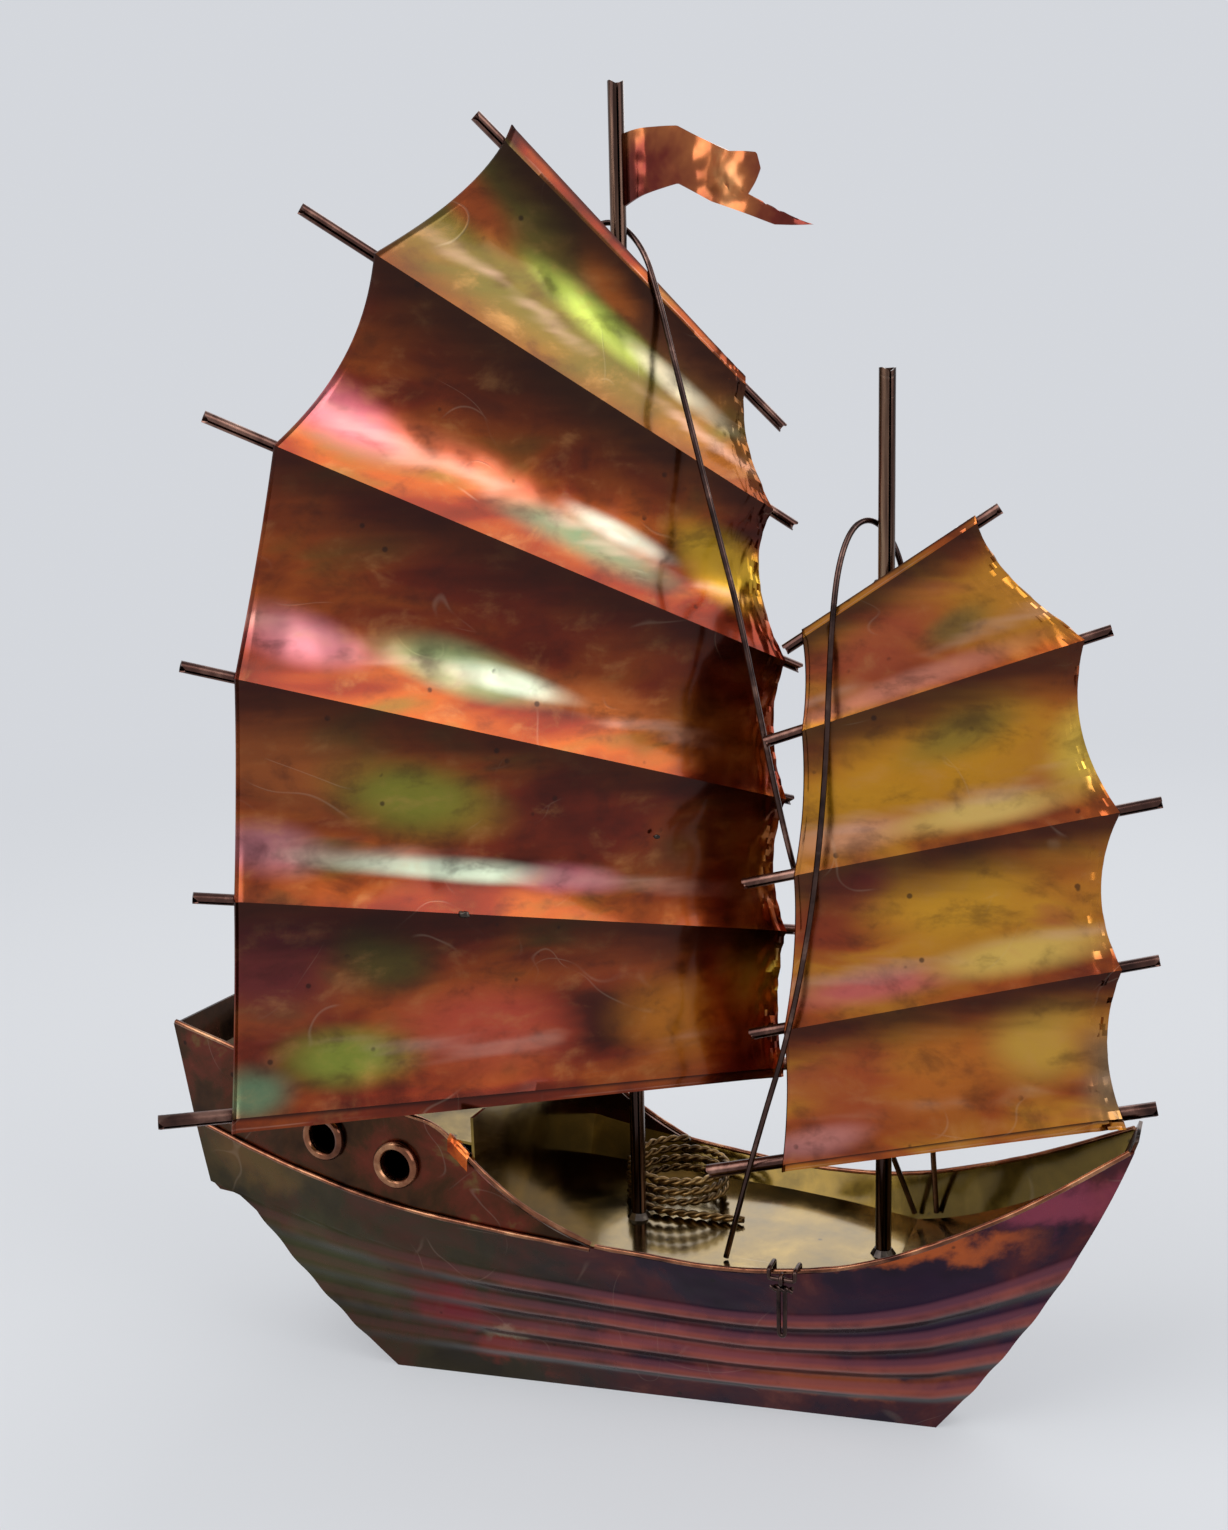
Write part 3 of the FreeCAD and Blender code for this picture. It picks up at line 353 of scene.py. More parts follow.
def apply_modifier(obj, kind, **settings):
    """Add a modifier with its settings and apply it."""
    pick(obj)
    modifier = obj.modifiers.new(kind.title(), kind)
    for key, value in settings.items():
        setattr(modifier, key, value)
    bpy.ops.object.modifier_apply(modifier=modifier.name)


def thicken(obj, thickness, offset=-1.0, inner_slot=0):
    """Give a sheet its thickness, behind its face or about its middle; its back may have a finish."""
    apply_modifier(obj, "SOLIDIFY", thickness=thickness, offset=offset, material_offset=inner_slot)


def shaped_grid(name, across, along, place, maps=None):
    """Flat grid of sheet, bent in code: place(s, t) gives each crossing's point in millimetres."""
    deselect()
    bpy.ops.mesh.primitive_grid_add(x_subdivisions=across, y_subdivisions=along, size=1.0)
    obj = bpy.context.active_object
    obj.name = name
    mesh = obj.data
    shares = [tuple(min(1.0, max(0.0, value + 0.5)) for value in vertex.co[:2])
              for vertex in mesh.vertices]
    while mesh.uv_layers:
        mesh.uv_layers.remove(mesh.uv_layers[0])
    for layer_name, value in (maps or {}).items():
        layer = mesh.uv_layers.new(name=layer_name)
        values = [value(s, t) for s, t in shares]
        for loop in mesh.loops:
            layer.data[loop.index].uv = values[loop.vertex_index]
    for vertex, (s, t) in zip(mesh.vertices, shares):
        vertex.co = Vector(place(s, t)) * MM
    mesh.update()
    return obj


def swept(points, radius, sides=10, closed=False):
    """Vertices and faces of a round wire along points in millimetres; radius may vary by place."""
    points = [Vector(p) for p in points]
    count = len(points)
    rings = []
    normal = None
    for i, point in enumerate(points):
        ahead = points[(i + 1) % count] if closed or i < count - 1 else point
        behind = points[i - 1] if closed or i > 0 else point
        tangent = (ahead - behind).normalized()
        if normal is None:
            guide = Vector((0, 0, 1)) if abs(tangent.z) < 0.8 else Vector((0, 1, 0))
            normal = tangent.cross(guide).normalized()
        normal = (normal - tangent * normal.dot(tangent)).normalized()
        side = tangent.cross(normal)
        size = radius(i / max(count - 1, 1)) if callable(radius) else radius
        ring = [point + (normal * math.cos(2 * math.pi * k / sides)
                         + side * math.sin(2 * math.pi * k / sides)) * size for k in range(sides)]
        rings.append(ring)
    vertices = [v * MM for ring in rings for v in ring]
    faces = []
    last = count if closed else count - 1
    for i in range(last):
        j = (i + 1) % count
        for k in range(sides):
            m = (k + 1) % sides
            faces.append((i * sides + k, i * sides + m, j * sides + m, j * sides + k))
    if not closed:
        faces.append(tuple(reversed(range(sides))))
        faces.append(tuple((count - 1) * sides + k for k in range(sides)))
    return vertices, faces


def piece_from(name, parts):
    """One object from several swept parts."""
    vertices, faces = [], []
    for part_vertices, part_faces in parts:
        offset = len(vertices)
        vertices += part_vertices
        faces += [tuple(i + offset for i in face) for face in part_faces]
    mesh = bpy.data.meshes.new(name)
    mesh.from_pydata(vertices, [], faces)
    mesh.update()
    obj = bpy.data.objects.new(name, mesh)
    bpy.context.scene.collection.objects.link(obj)
    return obj


def route_points(points, resolution=8):
    """Points along the smooth line that has the given places as its control points."""
    data = bpy.data.curves.new("route", "CURVE")
    data.dimensions = "3D"
    data.resolution_u = resolution
    spline = data.splines.new("NURBS")
    spline.points.add(len(points) - 1)
    for control, point in zip(spline.points, points):
        control.co = (*point, 1.0)
    spline.order_u = 3
    spline.use_endpoint_u = True
    route = bpy.data.objects.new("route", data)
    bpy.context.scene.collection.objects.link(route)
    line = bpy.data.meshes.new_from_object(route)
    found = [v.co.copy() for v in line.vertices]
    bpy.data.objects.remove(route)
    bpy.data.curves.remove(data)
    bpy.data.meshes.remove(line)
    return found


def finish_piece(obj, finish, body="ship", replaced=(), angle=30.0):
    """Smooth the shading, give the finish unless it is None, and hang the piece on its body."""
    pick(obj)
    bpy.ops.object.shade_smooth_by_angle(angle=math.radians(angle))
    if finish:
        obj.data.materials.clear()
        obj.data.materials.append(material_named(finish))
    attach(obj, body)
    if replaced:
        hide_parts(*replaced)
    deselect()


# Materials

METAL_TONE = (0.78, 0.78, 0.78, 1.0)   # share of its colour that a metal gives back
COAT_ROUGHNESS = 0.08
BUMP_DISTANCE = 0.001
SCRATCH_WIDTH = 0.0045
SCRATCH_DEPTH = 0.05
NO_LIMIT = 1000.0                      # reach of a patch along the axis that it doesn't mind


def paint(red, green, blue):
    """A colour of a picture as the shader's linear one."""
    def linear(value):
        value /= 255.0
        return value / 12.92 if value <= 0.04045 else ((value + 0.055) / 1.055) ** 2.4
    return (linear(red), linear(green), linear(blue), 1.0)


def put(tree, kind, inputs=None, **settings):
    """Add a node; an input is either a value or the socket that feeds it."""
    node = tree.nodes.new(kind)
    for key, value in settings.items():
        setattr(node, key, value)
    for key, value in (inputs or {}).items():
        socket = node.inputs[key]
        if isinstance(value, bpy.types.NodeSocket):
            tree.links.new(value, socket)
        else:
            socket.default_value = value
    return node


def math_node(tree, operation, a, b=0.0):
    return put(tree, "ShaderNodeMath", {0: a, 1: b}, operation=operation).outputs[0]


def vector_node(tree, operation, a, b=(0.0, 0.0, 0.0)):
    node = put(tree, "ShaderNodeVectorMath", {0: a, 1: b}, operation=operation)
    return node.outputs["Value"] if operation == "LENGTH" else node.outputs["Vector"]


def noise_share(tree, vector, scale, detail=2.0, roughness=0.5, distortion=0.0, output="Fac"):
    """A noise texture's value, from nought to one."""
    node = put(tree, "ShaderNodeTexNoise", {"Vector": vector, "Scale": scale, "Detail": detail,
                                            "Roughness": roughness, "Distortion": distortion})
    return node.outputs[output]


def blend_colour(tree, share, a, b, kind="MIX"):
    node = put(tree, "ShaderNodeMix", {0: share, 6: a, 7: b}, data_type="RGBA", blend_type=kind)
    return node.outputs[2]


def eased(tree, value, low, high, to_low=0.0, to_high=1.0):
    """Carry a value smoothly from one range to another."""
    node = put(tree, "ShaderNodeMapRange", {"Value": value, "From Min": low, "From Max": high,
                                            "To Min": to_low, "To Max": to_high},
               interpolation_type="SMOOTHSTEP")
    return node.outputs["Result"]


def ramp(tree, value, stops):
    """Colour for a value, through stops of (value, colour)."""
    node = put(tree, "ShaderNodeValToRGB", {"Fac": value})
    elements = node.color_ramp.elements
    while len(elements) < len(stops):
        elements.new(0.5)
    for element, (place, colour) in zip(elements, stops):
        element.position = place
        element.color = paint(*colour)
    return node.outputs["Color"]


def new_group(name, inputs, outputs):
    """A node group's tree with its input and its output node."""
    tree = bpy.data.node_groups.new(name, "ShaderNodeTree")
    for socket_name, kind, default in inputs:
        socket = tree.interface.new_socket(socket_name, in_out="INPUT", socket_type=kind)
        if default is not None:
            socket.default_value = default
    for socket_name, kind in outputs:
        tree.interface.new_socket(socket_name, in_out="OUTPUT", socket_type=kind)
    return tree, put(tree, "NodeGroupInput"), put(tree, "NodeGroupOutput")


def heat_and_highlight_patch_group():
    """One soft-edged patch of colour laid over what is under it: heat colour, and on the sails some
    painted highlights.
    """
    tree, source, result = new_group(
        "heat_and_highlight_patch",
        [("Base", "NodeSocketColor", (0.5, 0.5, 0.5, 1)), ("Colour", "NodeSocketColor", (1, 0.5, 0, 1)),
         ("Position", "NodeSocketVector", None), ("Centre", "NodeSocketVector", None),
         ("Reach", "NodeSocketVector", (0.1, 0.1, 0.1)), ("Strength", "NodeSocketFloat", 1.0)],
        [("Colour", "NodeSocketColor")])
    inputs = source.outputs
    offset = vector_node(tree, "SUBTRACT", inputs["Position"], inputs["Centre"])
    distance = vector_node(tree, "LENGTH", vector_node(tree, "DIVIDE", offset, inputs["Reach"]))
    mask = eased(tree, distance, 1.25, 0.25)
    share = math_node(tree, "MULTIPLY", mask, inputs["Strength"])
    tree.links.new(blend_colour(tree, share, inputs["Base"], inputs["Colour"]), result.inputs["Colour"])
    return tree


def wear_group():
    """Hair scratches, specks and soft dents over the metal."""
    tree, source, result = new_group(
        "metal_wear", [("Position", "NodeSocketVector", None)],
        [("Scratch", "NodeSocketFloat"), ("Speck", "NodeSocketFloat"), ("Height", "NodeSocketFloat")])
    position = source.outputs["Position"]
    lines = []
    for scale, stretch in ((34.0, (1.0, 0.3, 1.0)), (46.0, (0.4, 1.0, 0.7))):
        turned = vector_node(tree, "MULTIPLY", position, stretch)
        field = noise_share(tree, turned, scale, 1.0, distortion=0.6)
        off_line = math_node(tree, "ABSOLUTE", math_node(tree, "SUBTRACT", field, 0.5))
        lines.append(eased(tree, off_line, SCRATCH_WIDTH, 0.0))
    gaps = eased(tree, noise_share(tree, position, 55.0), 0.52, 0.66)
    broken = math_node(tree, "MULTIPLY", math_node(tree, "MAXIMUM", *lines), gaps)
    specks = put(tree, "ShaderNodeTexVoronoi", {"Vector": position, "Scale": 210.0})
    chosen = eased(tree, noise_share(tree, position, 90.0), 0.56, 0.64)
    speck = math_node(tree, "MULTIPLY", eased(tree, specks.outputs["Distance"], 0.16, 0.08), chosen)
    dents = noise_share(tree, position, 34.0, 3.0, 0.55)
    height = math_node(tree, "SUBTRACT", dents, math_node(tree, "MULTIPLY", broken, SCRATCH_DEPTH))
    tree.links.new(broken, result.inputs["Scratch"])
    tree.links.new(speck, result.inputs["Speck"])
    tree.links.new(height, result.inputs["Height"])
    return tree


def group_node(tree, name, make, inputs):
    """Node of a shared group, which is made the first time it is asked for."""
    group = bpy.data.node_groups.get(name) or make()
    return put(tree, "ShaderNodeGroup", inputs, node_tree=group)


def new_material(name):
    """An empty node material and its tree."""
    material = bpy.data.materials.new(name)
    material.use_nodes = True
    tree = material.node_tree
    tree.nodes.clear()
    return material, tree


def metal_shader(tree, colour, roughness, height, bump, coat):
    """The one shader of a metal, with its gloss and its bump."""
    normal = put(tree, "ShaderNodeBump", {"Height": height, "Strength": bump,
                                         "Distance": BUMP_DISTANCE}).outputs[0]
    colour = blend_colour(tree, 1.0, colour, METAL_TONE, "MULTIPLY")
    shader = put(tree, "ShaderNodeBsdfPrincipled", {
        "Base Color": colour, "Roughness": roughness, "Metallic": 1.0, "Normal": normal,
        "Coat Weight": coat, "Coat Roughness": COAT_ROUGHNESS})
    put(tree, "ShaderNodeOutputMaterial", {"Surface": shader.outputs[0]})


def object_position(tree):
    return put(tree, "ShaderNodeTexCoord").outputs["Object"]


def warped(tree, position, scale, amount, detail=1.0):
    """Positions pushed about by noise, so that patch edges run like heat colours."""
    shift = noise_share(tree, position, scale, detail, 0.6, output="Color")
    centred = vector_node(tree, "SUBTRACT", shift, (0.5, 0.5, 0.5))
    scaled = vector_node(tree, "MULTIPLY", centred, (amount, amount, amount))
    return vector_node(tree, "ADD", position, scaled)


def heated(tree, base, position, patches, axes):
    """Lay each named patch over the base; axes makes a vector of its two numbers and a third."""
    for name, centre, reach, colour, strength in patches:
        node = group_node(tree, "heat_and_highlight_patch", heat_and_highlight_patch_group, {
            "Base": base, "Colour": paint(*colour), "Position": position, "Strength": strength,
            "Centre": axes(centre, 0.0), "Reach": axes(reach, NO_LIMIT)})
        node.label = name
        base = node.outputs["Colour"]
    return base


def worn(tree, colour, position, scratch_colour, speck_colour):
    """The colour with its scratches and specks, and the height that goes with them."""
    wear = group_node(tree, "metal_wear", wear_group, {"Position": position})
    for mark, strength, marked in (("Scratch", 0.09, scratch_colour), ("Speck", 0.7, speck_colour)):
        share = math_node(tree, "MULTIPLY", wear.outputs[mark], strength)
        colour = blend_colour(tree, share, colour, paint(*marked))
    return colour, wear.outputs["Height"]


def sail_material(name, patches, stops, seed):
    """Heat-coloured sheet: patches, painted shade in a band under each crease and a painted highlight
    low in each panel.
    """
    material, tree = new_material(name)
    flat = put(tree, "ShaderNodeUVMap", uv_map="flat").outputs["UV"]
    bands = put(tree, "ShaderNodeUVMap", uv_map="bands").outputs["UV"]
    place = object_position(tree)
    moved = vector_node(tree, "ADD", flat, (seed, 0.0, 0.0))
    loose = warped(tree, bands, 1.9, 0.12)
    along = vector_node(tree, "MULTIPLY", moved, (0.8, 2.1, 1.0))
    mottle = noise_share(tree, along, 3.2, 3.0, distortion=0.4)
    finer = vector_node(tree, "MULTIPLY", moved, (1.0, 1.5, 1.0))
    grain = noise_share(tree, finer, 9.0, 7.0, 0.62, 0.3)
    colour = ramp(tree, mottle, stops)
    colour = heated(tree, colour, loose, patches, lambda p, far: (p[0] / MAP_UNIT, p[1], far))
    colour = blend_colour(tree, eased(tree, grain, 0.52, 0.28, 0.0, 0.5), colour, paint(64, 28, 22))
    colour = blend_colour(tree, eased(tree, grain, 0.52, 0.78, 0.0, 0.3), colour, paint(224, 160, 96))
    streaks = noise_share(tree, vector_node(tree, "MULTIPLY", flat, (1.2, 9.0, 1.0)), 3.0)
    split = put(tree, "ShaderNodeSeparateXYZ", {"Vector": bands})
    share = math_node(tree, "FRACT", split.outputs["Y"])
    raggedness = math_node(tree, "MULTIPLY", math_node(tree, "SUBTRACT", streaks, 0.5), 0.2)
    ragged = math_node(tree, "ADD", share, raggedness)
    # Painted shade: a dark band just under each crease, where the sheet faces down.
    dark = eased(tree, ragged, 0.42, 0.02, 0.0, 0.86)
    colour = blend_colour(tree, dark, colour, paint(44, 18, 13))
    # Painted highlight: a pale pink streak low in each panel, where the sheet faces up, in stretches.
    gleam_near = math_node(tree, "ABSOLUTE", math_node(tree, "SUBTRACT", ragged, 0.74))
    gleam = math_node(tree, "MULTIPLY", eased(tree, gleam_near, 0.09, 0.0, 0.0, 0.25),
                      eased(tree, mottle, 0.42, 0.58))
    colour = blend_colour(tree, gleam, colour, paint(246, 196, 176))
    colour, height = worn(tree, colour, place, (250, 230, 200), (40, 22, 18))
    metal_shader(tree, colour, eased(tree, grain, 0.3, 0.7, 0.15, 0.27), height, 0.14, 0.25)
    return material


def hull_material():
    """Dark heated sheet, violet forward and olive-brown aft, with painted shade under each rib and
    painted highlights above it and along its crest.
    """
    material, tree = new_material("heated_hull")
    place = object_position(tree)
    loose = warped(tree, place, 75.0, 0.024, detail=7.0)
    mottle = noise_share(tree, place, 42.0, 5.0, 0.62, 0.4)
    aft = ramp(tree, mottle, [(0.25, (30, 22, 14)), (0.45, (62, 52, 28)), (0.6, (82, 44, 28)),
                              (0.78, (118, 92, 60))])
    fore = ramp(tree, mottle, [(0.25, (20, 10, 24)), (0.45, (42, 19, 42)), (0.6, (84, 30, 36)),
                               (0.78, (138, 70, 56))])
    x = put(tree, "ShaderNodeSeparateXYZ", {"Vector": loose}).outputs["X"]
    colour = blend_colour(tree, eased(tree, x, -0.035, 0.02), aft, fore)
    colour = heated(tree, colour, loose, HULL_PATCHES, lambda p, far: (p[0] * MM, far, p[1] * MM))
    ribs = put(tree, "ShaderNodeUVMap", uv_map="ribs").outputs["UV"]
    side, crest = put(tree, "ShaderNodeSeparateXYZ", {"Vector": ribs}).outputs[:2]
    forward = eased(tree, x, -0.06, 0.0, 0.35, 1.0)
    # Painted shade under each rib and a painted highlight on its upper side, fainter aft.
    for shade, tint in ((eased(tree, side, 0.45, 0.0, 0.0, 0.75), (16, 8, 14)),
                        (eased(tree, side, 0.6, 1.0, 0.0, 0.4), (158, 92, 104))):
        share = math_node(tree, "MULTIPLY", shade, forward)
        colour = blend_colour(tree, share, colour, paint(*tint))
    # Painted highlight along the rib crests, broken up by the mottle and fainter aft.
    crest_highlight = eased(tree, crest, 0.5, 1.0)
    for limit in (eased(tree, mottle, 0.3, 0.62, 0.15, 0.6), eased(tree, x, -0.05, 0.01, 0.12, 1.0)):
        crest_highlight = math_node(tree, "MULTIPLY", crest_highlight, limit)
    colour = blend_colour(tree, crest_highlight, colour, paint(196, 104, 88))
    colour, height = worn(tree, colour, place, (226, 196, 170), (24, 18, 18))
    metal_shader(tree, colour, eased(tree, mottle, 0.3, 0.7, 0.2, 0.36), height, 0.5, 0.2)
    return material


def plain_metal(name, stops, rough, bump=0.4, scale=60.0, coat=0.1, stretch=(1.0, 1.0, 1.0)):
    """Mottled metal from dark to bright in the given colours."""
    material, tree = new_material(name)
    place = object_position(tree)
    pulled = vector_node(tree, "MULTIPLY", place, stretch)
    mottle = noise_share(tree, pulled, scale, 5.0, 0.6, 0.3)
    colour, height = worn(tree, ramp(tree, mottle, stops), place, (220, 200, 180), (24, 18, 16))
    metal_shader(tree, colour, eased(tree, mottle, 0.25, 0.75, *rough), height, bump, coat)
    return material


def material_named(name):
    """Make each finish the first time it is asked for."""
    found = bpy.data.materials.get(name)
    if found:
        return found
    if name == "heated_main_sail":
        return sail_material(name, MAIN_PATCHES, [(0.3, (70, 26, 18)), (0.45, (132, 48, 26)),
                                                  (0.58, (170, 82, 32)), (0.72, (122, 96, 40))], 0.0)
    if name == "heated_fore_sail":
        return sail_material(name, FORE_PATCHES, [(0.28, (112, 40, 26)), (0.45, (180, 86, 32)),
                                                  (0.58, (208, 134, 42)), (0.74, (178, 70, 62))], 7.0)
    if name == "heated_hull":
        return hull_material()
    finishes = {
        "golden_deck": dict(stops=[(0.25, (70, 56, 20)), (0.5, (118, 94, 36)), (0.75, (168, 138, 66))],
                            rough=(0.1, 0.24), bump=0.2, coat=0.3),
        "dark_tube": dict(stops=[(0.3, (44, 30, 28)), (0.5, (92, 62, 54)), (0.66, (150, 112, 98)),
                                 (0.8, (196, 160, 140))], rough=(0.18, 0.34), scale=90.0),
        "mast_tube": dict(stops=[(0.3, (34, 26, 24)), (0.48, (74, 52, 44)), (0.62, (136, 104, 84)),
                                 (0.76, (206, 176, 140))], rough=(0.16, 0.3), scale=260.0,
                          stretch=(1.0, 1.0, 0.06)),
        "dark_wire": dict(stops=[(0.3, (34, 26, 26)), (0.55, (84, 62, 56)), (0.8, (170, 132, 116))],
                          rough=(0.14, 0.28), scale=140.0),
        "rolled_rim": dict(stops=[(0.3, (72, 42, 34)), (0.5, (146, 92, 66)), (0.75, (214, 160, 118))],
                           rough=(0.14, 0.3), scale=120.0),
        "twisted_brass": dict(stops=[(0.3, (66, 48, 28)), (0.55, (128, 98, 58)), (0.8, (186, 152, 98))],
                              rough=(0.25, 0.4), scale=200.0),
        "grey_solder": dict(stops=[(0.3, (44, 38, 36)), (0.55, (92, 82, 74)), (0.8, (158, 146, 130))],
                            rough=(0.25, 0.45), scale=260.0, bump=0.8),
        "heated_pennant": dict(stops=[(0.3, (60, 28, 24)), (0.45, (128, 54, 44)),
                                      (0.58, (190, 112, 66)), (0.72, (222, 176, 120))],
                               rough=(0.14, 0.26), scale=32.0, bump=0.25),
        "orange_sheet": dict(stops=[(0.3, (120, 44, 24)), (0.5, (206, 96, 40)), (0.75, (240, 160, 90))],
                             rough=(0.16, 0.3), scale=150.0),
        "heated_plate": dict(stops=[(0.3, (34, 24, 18)), (0.48, (74, 48, 30)), (0.62, (112, 52, 38)),
                                    (0.76, (126, 116, 66))], rough=(0.18, 0.34)),
    }
    return plain_metal(name, **finishes[name])


# Hull

def half_beam(x):
    return curve_value(HALF_BEAM, x)


def rail_height(x):
    return curve_value(SHEER, x)


def side_height(x):
    """Top of the side sheet, under its rolled rim."""
    return rail_height(x) - 2 * scene_sizes().rim_radius / MM


def bottom_half(x):
    """Half of the bottom's breadth; forward of the bottom plate the sides pinch in."""
    if x > BOTTOM_FORE:
        return curve_value(BOW_PINCH, x)
    return mix(BOTTOM_HALF_AFT, BOTTOM_HALF_FORE, (x - BOTTOM_AFT) / (BOTTOM_FORE - BOTTOM_AFT))


def stem_x(z):
    """Forward end of the side at a height, on the arc through the stem's three points."""
    (x0, z0), (x1, z1), (x2, z2) = STEM
    span = (z0 - z1) * (z0 - z2), (z1 - z0) * (z1 - z2), (z2 - z0) * (z2 - z1)
    return (x0 * (z - z1) * (z - z2) / span[0] + x1 * (z - z0) * (z - z2) / span[1]
            + x2 * (z - z0) * (z - z1) / span[2])


def stern_x(z):
    """After end of the side at a height."""
    for (xa, za), (xb, zb) in zip(STERN, STERN[1:]):
        if z <= zb:
            return mix(xa, xb, (z - za) / (zb - za))
    return STERN[-1][0]


side_ends = {}


def row_key(share):
    """Whole number for a row of the side's grid."""
    return round(share * 1000)


def ends_at(share):
    """Where the side begins and ends at a share of its height, found by closing in on it."""
    aft, fore = -80.0, 90.0
    for _ in range(24):
        aft = mix(aft, stern_x(side_height(aft) * share), 0.7)
        fore = mix(fore, stem_x(side_height(fore) * share), 0.7)
    return aft, fore


def rib_crest(share):
    """How near a place is to a rib's crest, from nought to one."""
    crest = 0.0
    for height in RIB_HEIGHTS:
        near = abs(share - height) / RIB_SPREAD
        if near < 1:
            crest = max(crest, 0.5 + 0.5 * math.cos(math.pi * near))
    return crest


def rib_side(share):
    """From nought under a rib to one above it, a half on its crest and on the flat between ribs."""
    for height in RIB_HEIGHTS:
        offset = (share - height) / RIB_SPREAD
        if abs(offset) < 1:
            return 0.5 + 0.5 * math.sin(math.pi * offset)
    return 0.5


def side_surface(s, share):
    """Point of the starboard side's outer face: s runs from stern to stem, share from bottom to rail."""
    aft, fore = side_ends[row_key(share)]
    x = mix(aft, fore, s)
    low = bottom_half(x)
    depth = mix(RIB_DEPTH_AFT, RIB_DEPTH_FORE, smooth_step(-45, -15, x))
    depth *= 1 + 0.2 * ripple(x / 14, share * 9, seed=1)
    y = mix(low, half_beam(x), share) + depth * rib_crest(share)
    free = 4 * share * (1 - share) * smooth_step(0, 0.04, s) * smooth_step(1, 0.96, s)
    y += free * WAVE_DEPTH * ripple(x / 22, share * 3.2, seed=2)
    y += free * DENT_DEPTH * ripple(x / 6, share * 11, seed=3)
    return x, -y, side_height(x) * share


def quarter_face_y(x, z):
    """Outer face of the starboard quarter panel, which flares as it rises."""
    base = side_height(x)
    return -half_beam(x) - QUARTER_FLARE * (z - base) / (OVERHEAD - base)


# Sails

def spar_radius(name):
    sizes = scene_sizes()
    return (sizes.boom_radius if name.endswith("boom") else sizes.spar_radius) / MM


def ridge_depth(name):
    """Depth at which the sheet is creased over a spar; nearer the viewer is less."""
    radius = spar_radius(name)
    sizes = scene_sizes()
    return (-(sizes.mast_radius / MM + radius) - radius * RIDGE_NEST - RIDGE_SLACK
            - sizes.sail_sheet / MM)


def height_on(ends, u):
    """Height on a spar's line at u."""
    (u0, h0), (u1, h1) = ends
    return mix(h0, h1, (u - u0) / (u1 - u0))


def swung(rig, u, depth, height):
    """From a sail's own plane to the ship: u forward of the mast, depth away from the viewer."""
    turn = math.radians(rig["swing"])
    return Vector((rig["mast_x"] + u * math.cos(turn) - depth * math.sin(turn),
                   u * math.sin(turn) + depth * math.cos(turn), height))


def edge_u(corners, cuts, segment, t, inward):
    """Place along a scalloped edge, which is cut in most at mid-segment."""
    a, b = corners[segment], corners[segment + 1]
    return mix(a[0], b[0], t) + inward * 4 * cuts[segment] * t * (1 - t)


def crossing(corners, cuts, segment, inward, ends):
    """Share of an edge's segment at which it meets a spar's line."""
    low, high = 0.0, 1.0
    for _ in range(30):
        middle = (low + high) / 2
        u = edge_u(corners, cuts, segment, middle, inward)
        height = mix(corners[segment][1], corners[segment + 1][1], middle)
        if height > height_on(ends, u):
            low = middle
        else:
            high = middle
    return low


def sail_strips(rig):
    """Strips of sheet from head to foot: two lines with their depths, and the parts of both edges."""
    spars = [(ends_aft, ends_fore) for _, ends_aft, ends_fore in rig["spars"]]
    depths = [ridge_depth(name) for name, _, _ in rig["spars"]]
    head = tuple((u, h + 0.5) for u, h in (rig["aft"][0], rig["fore"][0]))
    foot = tuple((u, h - 0.5) for u, h in (rig["aft"][-1], rig["fore"][-1]))
    lines = [head] + spars + [foot]
    depths = [depths[0]] + depths + [depths[-1]]
    last = len(rig["aft"]) - 2
    sides = []
    for corners, cuts, inward in ((rig["aft"], rig["aft_cuts"], 1), (rig["fore"], rig["fore_cuts"], -1)):
        top = crossing(corners, cuts, 0, inward, spars[0])
        low = crossing(corners, cuts, last, inward, spars[-1])
        parts = [(0, 0.0, top), (0, top, 1.0)] + [(i, 0.0, 1.0) for i in range(1, last)]
        parts += [(last, 0.0, low), (last, low, 1.0)]
        sides.append(parts)
    return [(lines[i], lines[i + 1], depths[i], depths[i + 1], sides[0][i], sides[1][i])
            for i in range(len(lines) - 1)]


def crumple(rig, u, height, to_fore):
    """How the torn and folded luff stands off the sheet, toward the viewer."""
    near = math.exp(-(to_fore / CRUMPLE_REACH) ** 2)
    fold = abs(ripple(u / 2.6, height / 3.4, seed=5))
    fold += 0.6 * abs(ripple(u / 1.3, height / 1.7, seed=6))
    return rig["crumple"] * near * fold


